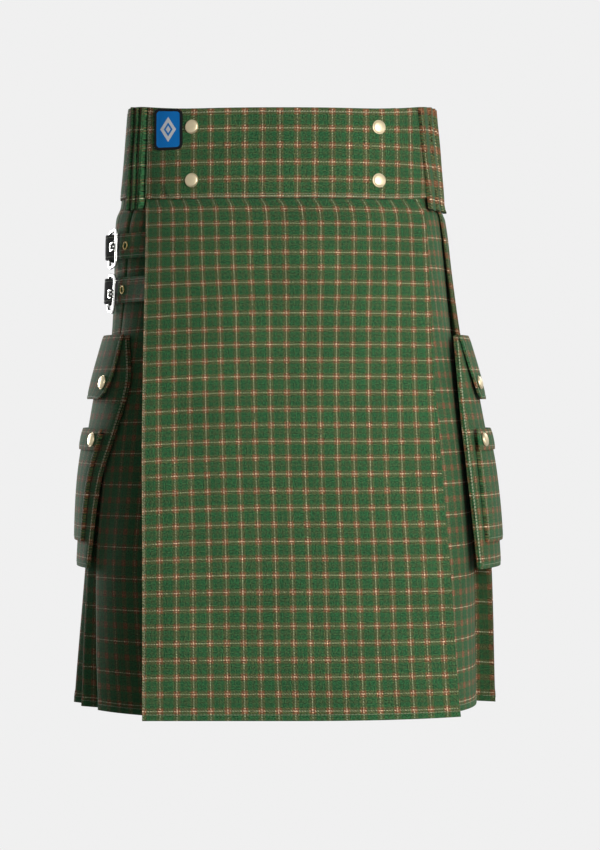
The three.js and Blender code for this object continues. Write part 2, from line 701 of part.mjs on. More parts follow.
// The ways round to a pocket piece's two sides at a height. The left pocket's front comes first.
function pocketWays(side, { top, bottom, front, behind, cut }, z) {
  const down = (top - z) / (top - bottom);
  const corner = Math.max(0, cut - (z - bottom));
  const frontInset = mix(front[0], front[1], down) + corner;
  const backInset = mix(behind[0], behind[1], down) + corner;
  const frontY = valueAt(pocketFrontRows, side + "Y", z);
  const backY = valueAt(pocketBackRows, side + "Y", z);
  return side === "left"
    ? [wayToLeftY(z, frontY) + frontInset, wayToLeftY(z, backY) - backInset]
    : [wayToRightY(z, backY) + backInset, wayToRightY(z, frontY) - frontInset];
}

// How far the inside of a pocket's piece stands off, at a share across and down
function pocketOff({ off, crown }, share, down) {
  const bow = Math.sin(Math.PI * share) ** 0.6 * Math.sin(Math.PI * mix(0.1, 0.9, down));
  return mix(off[0], off[1], down) + crown * bow;
}

function addPocket(side) {
  for (const piece of pocketPieces) {
    const { name, top, bottom, cut, thick } = piece;
    const heights = steps(top, bottom, Math.max(2, Math.round((top - bottom) / pocketStep)));
    if (cut > 0) heights.splice(-1, 0, bottom + cut);
    const waysAt = (z) => pocketWays(side, piece, z);
    const insideOf = (share, z) => pocketOff(piece, share, (top - z) / (top - bottom));
    const outsideOf = (share, z) => insideOf(share, z) + thick;
    const wall = outlineWall(heights, steps(0, 1, 12), waysAt, insideOf, outsideOf);
    addMesh(`pocket_${side}_${name}`, wall, twill);
  }
  for (const { on, z, inset } of pocketStuds) {
    const piece = pocketPieces.find(({ name }) => name === on);
    for (const end of ["front", "back"]) {
      const fromStart = (end === "front") === (side === "left");
      const pointAt = (up, along) => {
        const level = z + up;
        const down = (level - piece.top) / (piece.bottom - piece.top);
        const [from, to] = pocketWays(side, piece, level);
        const placed = (fromStart ? from + inset : to - inset) + along;
        const out = pocketOff(piece, (placed - from) / (to - from), down) + piece.thick;
        const p = onOutline(level, placed, out);
        return [p.x, p.y, level];
      };
      seatOn(addMesh(`stud_${side}_${on}_${end}`, studGeometry(), brass), pointAt, seam + 0.2);
    }
  }
}

addWaistband();
addOuterApron();
addUnderApron();
addPleats();
addSidePanel();
addTucks("left");
addTucks("right");
addBandStuds();
addPatch();
for (const strap of straps) {
  addStrap(strap);
  addEyelets(strap);
  addBuckle(strap);
  addChape(strap);
}
addPocket("left");
addPocket("right");

export default kilt;
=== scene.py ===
# A utility kilt in checked twill, worn shape with no wearer. Lengths are in millimetres until a
# mesh is made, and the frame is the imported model's: +Z up, -Y the front, origin in the waistband.
import math
import bmesh
import bpy
import numpy as np
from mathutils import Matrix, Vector


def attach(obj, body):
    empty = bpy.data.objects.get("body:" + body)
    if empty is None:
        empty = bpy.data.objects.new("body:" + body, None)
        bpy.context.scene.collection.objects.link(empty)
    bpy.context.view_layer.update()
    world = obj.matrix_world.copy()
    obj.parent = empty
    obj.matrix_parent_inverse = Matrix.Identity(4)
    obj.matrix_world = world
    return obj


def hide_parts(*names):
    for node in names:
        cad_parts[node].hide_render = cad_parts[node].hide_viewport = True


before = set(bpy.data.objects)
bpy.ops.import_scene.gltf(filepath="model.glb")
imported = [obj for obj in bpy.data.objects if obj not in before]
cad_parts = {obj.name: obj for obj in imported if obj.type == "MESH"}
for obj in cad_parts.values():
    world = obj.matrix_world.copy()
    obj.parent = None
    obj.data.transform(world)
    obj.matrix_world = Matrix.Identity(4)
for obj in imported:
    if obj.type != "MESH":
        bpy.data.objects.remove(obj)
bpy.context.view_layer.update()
mm = 0.001

# sizes that several pieces share
sizes = {
    "bandTop": 46, "seamFront": -46, "hem": -564,
    "topRise": 7, "seamRise": 5,             # how much higher the waistband's edges are at the sides
    "riseFrom": -95, "riseOver": 60,         # where that rise starts and how far back it takes
    "cloth": 1.5, "band": 3, "seam": 0.3,    # thickness, doubled thickness, gap between sewn pieces
    "check": 16.6,                           # from one cream line of the check to the next
    "lineAboveSeam": 2.2,                    # the lowest cream line of the waistband
    "rowPitch": 4.2,                         # how fine the skirt's grids are
}

# the worn outline at each height: reaches to the left, right, front and back, and its roundness
outline = {
    "z":       [46, 0, -41, -46, -62, -120, -170, -250, -330, -430, -564],
    "left":    [162.5, 166.5, 170, 170.5, 175.5, 177, 179, 191, 202, 209, 221],
    "right":   [157, 161, 164.5, 164.5, 170.5, 178, 185, 199, 211.5, 221, 225],
    "front":   [103, 106.5, 109.5, 109.5, 116, 138, 151, 164, 170, 174, 178],
    "back":    [103, 106.5, 109.5, 109.5, 114, 120, 125, 131, 137, 142, 148],
    "centreY": [0, 0, 0, 0, 1, 4, 7, 12, 16, 19, 22],
    "power":   [2.3, 2.3, 2.3, 2.3, 2.3, 2.3, 2.25, 2.2, 2.2, 2.2, 2.2],
}

print("kilt: helpers")


# a soft step from 0 to 1: three times the square less twice the cube
def smooth(share):
    share = np.clip(share, 0, 1)
    return share * share * (3 - 2 * share)


def mix(a, b, share):
    return a + (b - a) * share


def unit(vector):
    return vector / np.maximum(np.linalg.norm(vector, axis=-1, keepdims=True), 1e-9)


# a name in camel case, from its first word and the others
def joined(first, *words):
    return first + "".join(word.capitalize() for word in words)


# A table's column at heights z, on a cubic through its rows. The slope at a row is the harmonic mean
# of those on its two sides, or none at a turn, so that the curve never swings past a row.
def curve(table, column, z):
    at = np.array(table["z"][::-1], float)
    value = np.array(table[column][::-1], float)
    rise = np.diff(value) / np.diff(at)
    product = rise[:-1] * rise[1:]
    total = np.where(product > 0, rise[:-1] + rise[1:], 1)
    slope = np.concatenate([rise[:1], np.where(product > 0, 2 * product / total, 0), rise[-1:]])
    z = np.clip(z, at[0], at[-1])
    i = np.clip(np.searchsorted(at, z) - 1, 0, len(at) - 2)
    gap = at[i + 1] - at[i]
    s = (z - at[i]) / gap
    rounded = gap * (s * (1 - s) ** 2 * slope[i] - s * s * (1 - s) * slope[i + 1])
    return mix(value[i], value[i + 1], s * s * (3 - 2 * s)) + rounded


# the same as a column, one value for each row of a grid
def curveDown(table, column, z):
    return curve(table, column, z)[:, None]


def gridRows(top, bottom, pitch):
    return np.linspace(top, bottom, max(3, int(round((top - bottom) / pitch)) + 1))


def signedPower(value, power):
    return np.sign(value) * np.abs(value) ** power


# an edge in plan turned a quarter to its left
def sideways(edge):
    return np.stack([-edge[..., 1], edge[..., 0]], axis=-1)


ringCache = {}


# The outline at heights z, half a degree apart, clockwise seen from above from the middle of the
# front. Each point is a superellipse: signed powers of the sine and cosine times the reaches.
# Returns the points, the way round to each, and the normals.
def ringsAt(z):
    key = z.tobytes()
    if key not in ringCache:
        turn = np.radians(np.linspace(0, 360, 721))
        reach = {name: curveDown(outline, name, z) for name in outline if name != "z"}
        power = 2 / reach["power"]
        across = signedPower(np.sin(turn), power)
        along = signedPower(np.cos(turn), power)
        x = -across * np.where(across > 0, reach["left"], reach["right"])
        forward = reach["front"] + reach["centreY"]
        backward = reach["back"] - reach["centreY"]
        y = reach["centreY"] - along * np.where(along > 0, forward, backward)
        ring = np.stack([x, y], axis=-1)
        before = np.roll(ring[:, :-1], 1, axis=1)
        after = np.roll(ring[:, :-1], -1, axis=1)
        normal = unit(sideways(after - before))
        normal = np.concatenate([normal, normal[:, :1]], axis=1)
        ringCache[key] = (ring, runAlong(ring, 1), normal)
    return ringCache[key]


# points a way round each height's outline, moved out along its normal: z has a value for each row
# and way one for each point
def onOutline(z, way, out=0.0):
    ring, length, normal = ringsAt(z)
    total = length[:, -1:]
    shift = np.arange(len(z))[:, None] * 1e5     # lays the rows end to end, for one interpolation
    here = (np.mod(way, total) + shift).ravel()
    table = (length + shift).ravel()

    def pick(grid, axis):
        return np.interp(here, table, grid[..., axis].ravel()).reshape(way.shape)

    x = pick(ring, 0) + pick(normal, 0) * out
    y = pick(ring, 1) + pick(normal, 1) * out
    return np.stack([x, y], axis=-1)


# one point of the outline as a point in space
def onRing(z, way, out=0.0):
    point = onOutline(np.array([float(z)]), np.array([[float(way)]]), out)[0, 0]
    return np.array([point[0], point[1], z])


# the way round to where a coordinate passes a value, between two degrees, at each height
def wayTo(z, axis, value, fromDegree, toDegree):
    ring, length, _ = ringsAt(z)
    first, last = 2 * fromDegree, 2 * toDegree
    coord = ring[:, first:last + 1, axis] - np.reshape(value, (-1, 1))
    i = np.argmax(coord[:, :-1] * coord[:, 1:] <= 0, axis=1)
    row = np.arange(len(z))
    share = coord[row, i] / (coord[row, i] - coord[row, i + 1])
    return mix(length[row, first + i], length[row, first + i + 1], share)


def wayToFrontX(z, x):
    x = np.broadcast_to(np.asarray(x, float), z.shape)
    leftWay = wayTo(z, 0, np.minimum(x, 0), 0, 90)
    rightWay = wayTo(z, 0, np.maximum(x, 0), 270, 360)
    return np.where(x < 0, leftWay, rightWay)


def wayToSideY(z, y, side):
    return wayTo(z, 1, y, 20, 180) if side == "left" else wayTo(z, 1, y, 180, 340)


# how far the waistband's edges have risen at a place this far back: none in front, 1 at the sides
def risen(y):
    return smooth((y - sizes["riseFrom"]) / sizes["riseOver"])


# how much higher a point of the waistband lies there, up to its upper edge
def topLift(z, y):
    return sizes["topRise"] * np.maximum(0, z) / sizes["bandTop"] * risen(y)


# a route in plan moved sideways with its corners kept sharp: the mean of the two edge normals,
# lengthened at a corner
def beside(route, aside):
    normal = unit(sideways(np.diff(route, axis=1)))
    before = np.concatenate([normal[:, :1], normal], axis=1)
    after = np.concatenate([normal, normal[:, -1:]], axis=1)
    spread = np.maximum(0.35, 1 + np.sum(before * after, axis=-1, keepdims=True))
    return route + np.asarray(aside)[..., None] * (before + after) / spread


# eases the corners of a route, by passes of a 1-2-1 average along it
def eased(route, passes):
    for _ in range(passes):
        inner = (route[:, :-2] + 2 * route[:, 1:-1] + route[:, 2:]) / 4
        route = np.concatenate([route[:, :1], inner, route[:, -1:]], axis=1)
    return route


# each edge of a coarse route cut into equal steps
def refined(route, steps):
    share = np.arange(steps) / steps
    fine = mix(route[:, :-1, None, :], route[:, 1:, None, :], share[None, None, :, None])
    fine = fine.reshape(route.shape[0], -1, route.shape[-1])
    return np.concatenate([fine, route[:, -1:]], axis=1)


# the length along a grid's rows (axis 1) or columns (axis 0)
def runAlong(points, axis):
    step = np.linalg.norm(np.diff(points, axis=axis), axis=-1)
    start = np.zeros_like(np.take(step, [0], axis=axis))
    return np.concatenate([start, np.cumsum(step, axis=axis)], axis=axis)


def withHeight(route, z):
    return np.concatenate([route, np.broadcast_to(z, route.shape[:2])[..., None]], axis=-1)


# the outer and inner grids of a wall whose middle follows a route
def wallBeside(route, level, thick, relief=0.0):
    half = np.full(route.shape[:2], thick / 2)
    return withHeight(beside(route, half + relief), level), withHeight(beside(route, -half), level)


# places on the check, in real millimetres: along the cloth's row and up its column
def clothMap(across, up):
    return np.stack(np.broadcast_arrays(across, up), axis=-1)


# a bell of some depth across a line
def groove(fromLine, width, depth):
    return depth * np.exp(-(fromLine / width) ** 2)


# how far an edge is rounded off, by a quarter circle squeezed to a depth
def rolledEdge(fromEdge, width, depth):
    return depth * (1 - np.sqrt(1 - (1 - np.clip(fromEdge / width, 0, 1)) ** 2))


# Soft troughs and ridges. Each row of a table runs from one point to another, in the grid's own
# two coordinates, and is a bell across and eased to nothing at its ends.
def reliefOf(a, b, table):
    relief = np.zeros(np.broadcast(a, b).shape)
    for fromA, fromB, toA, toB, width, depth in table:
        alongA, alongB = toA - fromA, toB - fromB
        share = ((a - fromA) * alongA + (b - fromB) * alongB) / (alongA ** 2 + alongB ** 2)
        near = np.clip(share, 0, 1)
        gap = np.hypot(a - fromA - near * alongA, b - fromB - near * alongB)
        ends = smooth(np.clip(1.25 - 2.5 * np.abs(near - 0.5), 0, 1) + 0.15)
        relief += groove(gap, width, depth) * ends
    return relief


# a mesh of four-sided faces as a new object, smooth but for corners sharper than an angle
def addMesh(name, points, faces, material, uv=None, sharp=50):
    mesh = bpy.data.meshes.new(name)
    mesh.vertices.add(len(points))
    mesh.vertices.foreach_set("co", (points * mm).astype(np.float32).ravel())
    mesh.loops.add(faces.size)
    mesh.loops.foreach_set("vertex_index", faces.ravel().astype(np.int32))
    mesh.polygons.add(len(faces))
    mesh.polygons.foreach_set("loop_start", np.arange(0, faces.size, faces.shape[1], dtype=np.int32))
    if uv is not None:
        layer = mesh.uv_layers.new(name="cloth")
        layer.data.foreach_set("uv", uv[faces.ravel()].astype(np.float32).ravel())
    mesh.update(calc_edges=True)
    mesh.polygons.foreach_set("use_smooth", np.ones(len(faces), bool))
    mesh.set_sharp_from_angle(angle=math.radians(sharp))
    mesh.materials.append(material)
    piece = bpy.data.objects.new(name, mesh)
    bpy.context.scene.collection.objects.link(piece)
    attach(piece, "root")
    return piece


# four-sided faces between the neighbours of a grid of point numbers, or the same turned over
def facesOf(index, turned=False):
    corners = [index[:-1, :-1], index[:-1, 1:], index[1:, 1:], index[1:, :-1]]
    if turned:
        corners = corners[:1] + corners[:0:-1]
    return np.stack(corners, axis=-1).reshape(-1, 4)


# A closed wall between two grids that meet along their borders. Rows run down, and columns run
# clockwise seen from above, so the outside faces out.
def addWall(name, outer, inner, uv, material):
    rows, columns = outer.shape[:2]
    points = np.concatenate([outer.reshape(-1, 3), inner.reshape(-1, 3)])
    front = np.arange(rows * columns).reshape(rows, columns)
    back = front + rows * columns
    faces = np.concatenate([
        facesOf(front),
        facesOf(back, True),
        facesOf(np.stack([front[0], back[0]]), True),
        facesOf(np.stack([front[-1], back[-1]])),
        facesOf(np.stack([front[:, 0], back[:, 0]], axis=1), True),
        facesOf(np.stack([front[:, -1], back[:, -1]], axis=1))])
    flat = uv.reshape(-1, 2)
    return addMesh(name, points, faces, material, np.concatenate([flat, flat]))


# a grid that closes on itself along its columns, and along its rows or with a cap at each end
def addTube(name, grid, material, ring=False, sharp=50):
    rows, columns = grid.shape[:2]
    index = np.arange(rows * columns).reshape(rows, columns)
    if ring:
        index = np.concatenate([index, index[:1]], axis=0)
    index = np.concatenate([index, index[:, :1]], axis=1)
    piece = addMesh(name, grid.reshape(-1, 3), facesOf(index), material, sharp=sharp)
    closeEnds(piece)
    return piece


def closeEnds(piece):
    mesh = bmesh.new()
    mesh.from_mesh(piece.data)
    bmesh.ops.remove_doubles(mesh, verts=mesh.verts, dist=1e-6)
    rims = [edge for edge in mesh.edges if edge.is_boundary]
    if rims:
        bmesh.ops.holes_fill(mesh, edges=rims)
    bmesh.ops.recalc_face_normals(mesh, faces=mesh.faces)
    mesh.to_mesh(piece.data)
    mesh.free()


thread = {"pitch": 3.3, "long": 2.5, "wide": 0.75, "high": 0.42, "lift": 0.1,
          "station": [-0.5, -0.38, 0, 0.38, 0.5], "girth": [0.35, 0.9, 1, 0.9, 0.35]}


# Stitches along paths. Each one is a small bar with six sides and round ends that lies half in the
# cloth, turned to its path and normal. A path is (points, normals), both (count, 3).
def addStitches(name, paths, material):
    sides = 6
    turn = np.linspace(0, 2 * np.pi, sides + 1)[:-1]
    station, girth = np.array(thread["station"]), np.array(thread["girth"])[:, None]
    bar = np.stack([
        np.repeat(station * thread["long"], sides),
        (girth * np.cos(turn) * thread["wide"] / 2).ravel(),
        (girth * np.sin(turn) * thread["high"]).ravel()], axis=-1)
    index = np.arange(len(bar)).reshape(-1, sides)
    index = np.concatenate([index, index[:, :1]], axis=1)
    cap = np.array([[0, 3, 2, 1], [0, 5, 4, 3]])
    farCap = len(bar) - sides + np.array([[0, 1, 2, 3], [0, 3, 4, 5]])
    faces = np.concatenate([facesOf(index), cap, farCap])[:, ::-1]
    allPoints, allFaces, count = [], [], 0
    for points, normals in paths:
        run = runAlong(points[None], 1)[0]
        at = np.arange(0.6 * thread["pitch"], run[-1] - 0.5 * thread["pitch"], thread["pitch"])

        def pick(grid, where):
            return np.stack([np.interp(where, run, grid[:, axis]) for axis in range(3)], axis=-1)

        along = unit(pick(points, at + 0.8) - pick(points, at - 0.8))
        out = pick(normals, at)
        out = unit(out - along * np.sum(out * along, axis=-1, keepdims=True))
        axes = np.stack([along, np.cross(out, along), out], axis=1)
        bars = pick(points, at)[:, None] + np.einsum("vk,nkc->nvc", bar, axes)
        shift = (count + np.arange(len(at)))[:, None, None] * len(bar)
        allPoints.append(bars.reshape(-1, 3))
        allFaces.append((faces[None] + shift).reshape(-1, 4))
        count += len(at)
    piece = addMesh(name, np.concatenate(allPoints), np.concatenate(allFaces), material)
    return piece


# a grid's outward normals, from the cross product of its two directions
def normalsOf(grid):
    return unit(np.cross(np.gradient(grid, axis=0), np.gradient(grid, axis=1)))


# a path on a grid, at a distance from one of its borders, kept off the ends of that border
def pathBy(grid, border, inset, fromEnd, toEnd, lift=thread["lift"]):
    normal = normalsOf(grid)
    if border in ("top", "bottom"):
        grid, normal = np.swapaxes(grid, 0, 1), np.swapaxes(normal, 0, 1)
    if border in ("bottom", "right"):
        grid, normal = grid[:, ::-1], normal[:, ::-1]
    run = runAlong(grid, 1)
    at = np.argmax(run > inset, axis=1)
    row = np.arange(len(grid))
    share = ((inset - run[row, at - 1]) / (run[row, at] - run[row, at - 1]))[:, None]
    points = mix(grid[row, at - 1], grid[row, at], share)
    normals = mix(normal[row, at - 1], normal[row, at], share)
    along = runAlong(points[None], 1)[0]
    keep = (along >= fromEnd) & (along <= along[-1] - toEnd)
    return points[keep] + normals[keep] * lift, normals[keep]


cuts = {}


# hides the part that a sheet stands in for, and keeps what a maker cuts for its grid: its longest
# row and column, and its area, in metres
def declare(piece, grid, node):
    width = runAlong(grid, 1)[:, -1].max() * mm
    length = runAlong(grid, 0)[-1].max() * mm
    acrossEdge = grid[:-1, 1:] - grid[:-1, :-1]
    downEdge = grid[1:, :-1] - grid[:-1, :-1]
    area = np.linalg.norm(np.cross(acrossEdge, downEdge), axis=-1).sum() * mm * mm
    area = min(area, width * length)
    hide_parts(node)
    cuts[piece.name] = (round(width, 3), round(length, 3), round(area, 4))


# A sewn piece of twill: its wall, and the stitches on the paths that its seams and edging give. Its
# cut is measured on its outer grid, unless another one is given.
def addCloth(name, node, walls, uv, material, seams=(), edging=(), measured=None):
    outer, inner = walls
    piece = addWall(name + "Cloth", outer, inner, uv, materials[material])
    for title, kind, rows in (("Stitches", "thread", seams), ("Edging", "edging", edging)):
        if rows:
            addStitches(name + title, [pathBy(outer, *row) for row in rows], materials[kind])
    declare(piece, outer if measured is None else measured, node)


# sRGB hex to linear
def toLinear(hexColour):
    channels = [int(hexColour[i:i + 2], 16) / 255 for i in (1, 3, 5)]
    return [c / 12.92 if c <= 0.04045 else ((c + 0.055) / 1.055) ** 2.4 for c in channels] + [1]


def darkened(colour, share):
    return [channel * share for channel in colour[:3]] + [1]


# Adds a node and sets what is named. An input is named by its words, or as i and its number, and
# is linked where it is given as (node, output).
def addNode(tree, kind, settings=None, **inputs):
    node = tree.nodes.new("ShaderNode" + kind)
    for key, value in (settings or {}).items():
        setattr(node, key, value)
    for key, value in inputs.items():
        numbered = key[0] == "i" and key[1:].isdigit()
        socket = node.inputs[int(key[1:]) if numbered else key.replace("_", " ")]
        if isinstance(value, tuple) and isinstance(value[0], bpy.types.Node):
            tree.links.new(value[0].outputs[value[1]], socket)
        else:
            socket.default_value = value
    return node


# the emptied node tree of a new material or world
def emptyTree(owner):
    owner.use_nodes = True
    owner.node_tree.nodes.clear()
    return owner.node_tree


# The check, out from the middle of a cream line, in millimetres. Where a stripe crosses green, the
# green shows through it, and where two stripes cross, they show their full colour.
check = {
    "creamHalf": 0.42, "rustHalf": 3.3, "brownHalf": 0.8, "edge": 0.2, "rustEdge": 0.9,
    "overGreen": {"green": "#2d5f39", "deepGreen": "#2c5835", "rust": "#635a38", "cream": "#b6b391",
                  "brown": "#455634"},
    "crossing": {"green": "#2d5f39", "deepGreen": "#2c5835", "rust": "#7d5236", "cream": "#e6ccaa",
                 "brown": "#455634"},
}
twill = {
    "diagonal": 2.6,            # about twice as coarse as real, so that it shows
    # black is painted shade: the near black given to a strap past its buckle's near bar
    "contrast": 1.2, "black": "#1b1c18",
    "specksPerMm": 0.8, "grain": 4.8,         # the yarn's unevenness, and how much it shades
    "patchesPerMm": 0.022, "fading": 0.3,     # the cloth's slow changes of shade
    "speckHeight": 1.2, "bump": 0.4, "bumpHeight": 0.25,
}


# Colour stops over two repeats of the check, whose cream lines are as strong as the pair in
# strengths says. Alpha marks the stripes.
def fillCheck(ramp, strengths, palette):
    colour = {key: np.array(toLinear(palette[key])) for key in palette}
    for key in ("green", "deepGreen", "brown"):
        colour[key][3] = 0
    half, edge, rustEdge = sizes["check"] / 2, check["edge"], check["rustEdge"]
    rustHalf, creamHalf = check["rustHalf"], check["creamHalf"]
    stops = []
    for middle, strength in zip((half, 3 * half), strengths):
        cream = np.minimum(1, mix(colour["rust"], colour["cream"], strength))
        stops += [
            (middle - rustHalf - rustEdge, colour["green"]),
            (middle - rustHalf + rustEdge, colour["rust"]),
            (middle - creamHalf - edge, colour["rust"]),
            (middle - creamHalf + edge, cream),
            (middle + creamHalf - edge, cream),
            (middle + creamHalf + edge, colour["rust"]),
            (middle + rustHalf - rustEdge, colour["rust"]),
            (middle + rustHalf + rustEdge, colour["green"]),
            (middle + half - check["brownHalf"] - edge, colour["deepGreen"]),
            (middle + half - edge, colour["brown"]),
        ]
    while len(ramp.elements) < len(stops):
        ramp.elements.new(0.5)
    for element, (at, value) in zip(ramp.elements, stops):
        element.position = at / (4 * half)
        element.color = value


# Cotton twill, yarn dyed: matt, with a faint bloom at grazing angles. Warp and weft carry the same
# stripes, and the twill's diagonals decide which of the two shows. strengths says how strongly two
# neighbouring cream lines show, for the lines down and for the lines across. On a strap, shade is
# painted: past its buckle's near bar, which is 0 on its map, the strap is coloured near black.
def twillMaterial(name, strengths, paintedShadeTongue=False):
    material = bpy.data.materials.new(name)
    tree = emptyTree(material)
    uv = addNode(tree, "UVMap", {"uv_map": "cloth"})
    split = addNode(tree, "SeparateXYZ", Vector=(uv, 0))
    turned = []
    for axis in (0, 1):
        repeats = addNode(tree, "Math", {"operation": "DIVIDE"}, i0=(split, axis), i1=2 * sizes["check"])
        turned.append(addNode(tree, "Math", {"operation": "FRACT"}, i0=(repeats, 0)))
    slant = addNode(tree, "Math", {"operation": "ADD"}, i0=(split, 0), i1=(split, 1))
    phase = addNode(tree, "Math", {"operation": "MULTIPLY"}, i0=(slant, 0),
                    i1=2 * math.pi / twill["diagonal"])
    wave = addNode(tree, "Math", {"operation": "SINE"}, i0=(phase, 0))
    over = addNode(tree, "Math", {"operation": "MULTIPLY_ADD", "use_clamp": True}, i0=(wave, 0),
                   i1=twill["contrast"], i2=0.5)
    woven = []
    for palette in ("overGreen", "crossing"):
        stripes = [addNode(tree, "ValToRGB", Fac=(turned[axis], 0)) for axis in (0, 1)]
        for axis in (0, 1):
            fillCheck(stripes[axis].color_ramp, strengths[axis], check[palette])
        woven.append(addNode(tree, "Mix", {"data_type": "RGBA"}, i0=(over, 0), i6=(stripes[0], 0),
                             i7=(stripes[1], 0)))
    crossing = addNode(tree, "Math", {"operation": "MULTIPLY"}, i0=(stripes[0], 1), i1=(stripes[1], 1))
    cloth = addNode(tree, "Mix", {"data_type": "RGBA"}, i0=(crossing, 0), i6=(woven[0], 2), i7=(woven[1], 2))
    # painted shade: past the near bar, at 0 on the map, the cloth's colour turns near black
    if paintedShadeTongue:
        isPaintedShade = addNode(tree, "Math", {"operation": "GREATER_THAN"}, i0=(split, 0), i1=0.0)
        cloth = addNode(tree, "Mix", {"data_type": "RGBA"}, i0=(isPaintedShade, 0), i6=(cloth, 2),
                        i7=toLinear(twill["black"]))
    speck = addNode(tree, "TexNoise", {"noise_dimensions": "2D"}, Vector=(uv, 0),
                    Scale=twill["specksPerMm"], Detail=2.0, Roughness=0.7)
    blotch = addNode(tree, "TexNoise", {"noise_dimensions": "2D"}, Vector=(uv, 0),
                     Scale=twill["patchesPerMm"], Detail=2.0)
    uneven = addNode(tree, "Math", {"operation": "MULTIPLY_ADD"}, i0=(speck, 0), i1=twill["grain"],
                     i2=1 - twill["grain"] / 2)
    fading = addNode(tree, "Math", {"operation": "MULTIPLY_ADD"}, i0=(blotch, 0), i1=twill["fading"],
                     i2=1 - twill["fading"] / 2)
    value = addNode(tree, "Math", {"operation": "MULTIPLY"}, i0=(uneven, 0), i1=(fading, 0))
    shaded = addNode(tree, "Mix", {"data_type": "RGBA", "blend_type": "MULTIPLY"}, i0=1.0, i6=(cloth, 2),
                     i7=(value, 0))
    height = addNode(tree, "Math", {"operation": "MULTIPLY_ADD"}, i0=(speck, 0), i1=twill["speckHeight"],
                     i2=(over, 0))
    bump = addNode(tree, "Bump", Height=(height, 0), Strength=twill["bump"],
                   Distance=twill["bumpHeight"] * mm)
    shader = addNode(tree, "BsdfPrincipled", Base_Color=(shaded, 2), Normal=(bump, 0), Roughness=0.88,
                     IOR=1.45, Specular_IOR_Level=0.2, Sheen_Weight=0.06, Sheen_Roughness=0.5)
    addNode(tree, "OutputMaterial", Surface=(shader, 0))
    return material


# Polyester sewing thread: fine, slightly glossy, with darker fibres about 1 mm apart
def threadMaterial(name, hexColour):
    material = bpy.data.materials.new(name)
    tree = emptyTree(material)
    place = addNode(tree, "TexCoord")
    noise = addNode(tree, "TexNoise", Vector=(place, 3), Scale=900.0, Detail=2.0)
    ramp = addNode(tree, "ValToRGB", Fac=(noise, 0))
    ramp.color_ramp.elements[0].color = darkened(toLinear(hexColour), 0.7)
    ramp.color_ramp.elements[1].color = toLinear(hexColour)
    shader = addNode(tree, "BsdfPrincipled", Base_Color=(ramp, 0), Roughness=0.6)
    addNode(tree, "OutputMaterial", Surface=(shader, 0))
    return material


# Pressed metal, tumbled: brass with a pale nickel wash on the caps, and polished nickel on the
# buckles. Faint dents about 4 mm apart blur what they reflect.
def metalMaterial(name, hexColour, roughness, dents):
    material = bpy.data.materials.new(name)
    tree = emptyTree(material)
    place = addNode(tree, "TexCoord")
    noise = addNode(tree, "TexNoise", Vector=(place, 3), Scale=260.0, Detail=4.0)
    ramp = addNode(tree, "ValToRGB", Fac=(noise, 0))
    ramp.color_ramp.elements[0].color = darkened(toLinear(hexColour), 0.82)
    ramp.color_ramp.elements[1].color = toLinear(hexColour)
    rough = addNode(tree, "MapRange", Value=(noise, 0), i3=roughness - 0.06, i4=roughness + 0.08)
    bump = addNode(tree, "Bump", Height=(noise, 0), Strength=dents, Distance=0.05 * mm)
    shader = addNode(tree, "BsdfPrincipled", Base_Color=(ramp, 0), Roughness=(rough, 0), Normal=(bump, 0),
                     Metallic=1.0)
    addNode(tree, "OutputMaterial", Surface=(shader, 0))
    return material


print("kilt: materials")
materials = {
    "apron": twillMaterial("checked twill, evenly lined", ((1, 0.85), (1, 0.85))),
    "skirt": twillMaterial("checked twill, every other line faint", ((0.6, 0.15), (1.35, 0.1))),
    # the strap's material paints shade, near black, past its buckle's near bar
    "strap": twillMaterial("checked twill strap with painted shade past its buckle", ((0.4, 0.1), (0.5, 0.1)), True),
    "thread": threadMaterial("sewing thread", "#8f9a7c"),
    "edging": threadMaterial("overlock thread", "#dcd6b4"),
    "brass": metalMaterial("pale brass", "#dccaa6", 0.42, 0.1),
    "nickel": metalMaterial("polished nickel", "#efede8", 0.2, 0.05),
    "eyeletBrass": metalMaterial("yellow brass", "#8f7c46", 0.4, 0.1),
}

print("kilt: waistband")
waistband = {
    "innerEndX": 118, "endTopX": -138, "endBottomX": -141, "rowPitch": 3.4, "columns": 400,
    "lapDepth": 3.5, "lapX": -142, "lapSideY": -30, "lapPast": 12,     # how its start lies behind its end
    "riseOver": 31,                             # how far over the seam its rise at the sides fades
    "checkAcross": 17.7, "checkDown": 17.2,     # the check lies a little wider here
    "topStitch": 4.6, "bottomStitch": 4.2, "endStitch": 2.2, "edgeStitch": 1.4,
    # fromX, fromZ, toX, toZ, width, depth: the front's small creases
    "creases": [
        (-125, -31, -117, -48, 1.7, -2.2),
        (-120, -28, -112, -44, 3.0, 0.9),
        (-104, -38, -100, -46, 3.0, -0.8),
        (-134, -20, -132, -46, 3.5, -0.8),
        (40, -36, 44, -46, 5.0, -0.5),
        (118, -34, 124, -46, 4.0, -0.8),
        (-60, 30, -40, -30, 16, 0.5),
        (60, 25, 75, -35, 18, -0.5),
    ],
}


# how deep the waistband lies on the left: by the whole lap up to its end, then less and less
def lapAt(z, way):
    leftSide = wayToSideY(z, waistband["lapSideY"], "left")[:, None]
    lapEnd = wayToFrontX(z, waistband["lapX"])[:, None]
    past = (way - lapEnd - waistband["lapPast"]) / (leftSide - lapEnd)
    return waistband["lapDepth"] * (1 - smooth(past))


# where the waistband's check lies, up from the seam
def bandCheckUp(z):
    scale = sizes["check"] / waistband["checkDown"]
    return (z[:, None] - sizes["seamFront"] - sizes["lineAboveSeam"]) * scale + sizes["check"] / 2


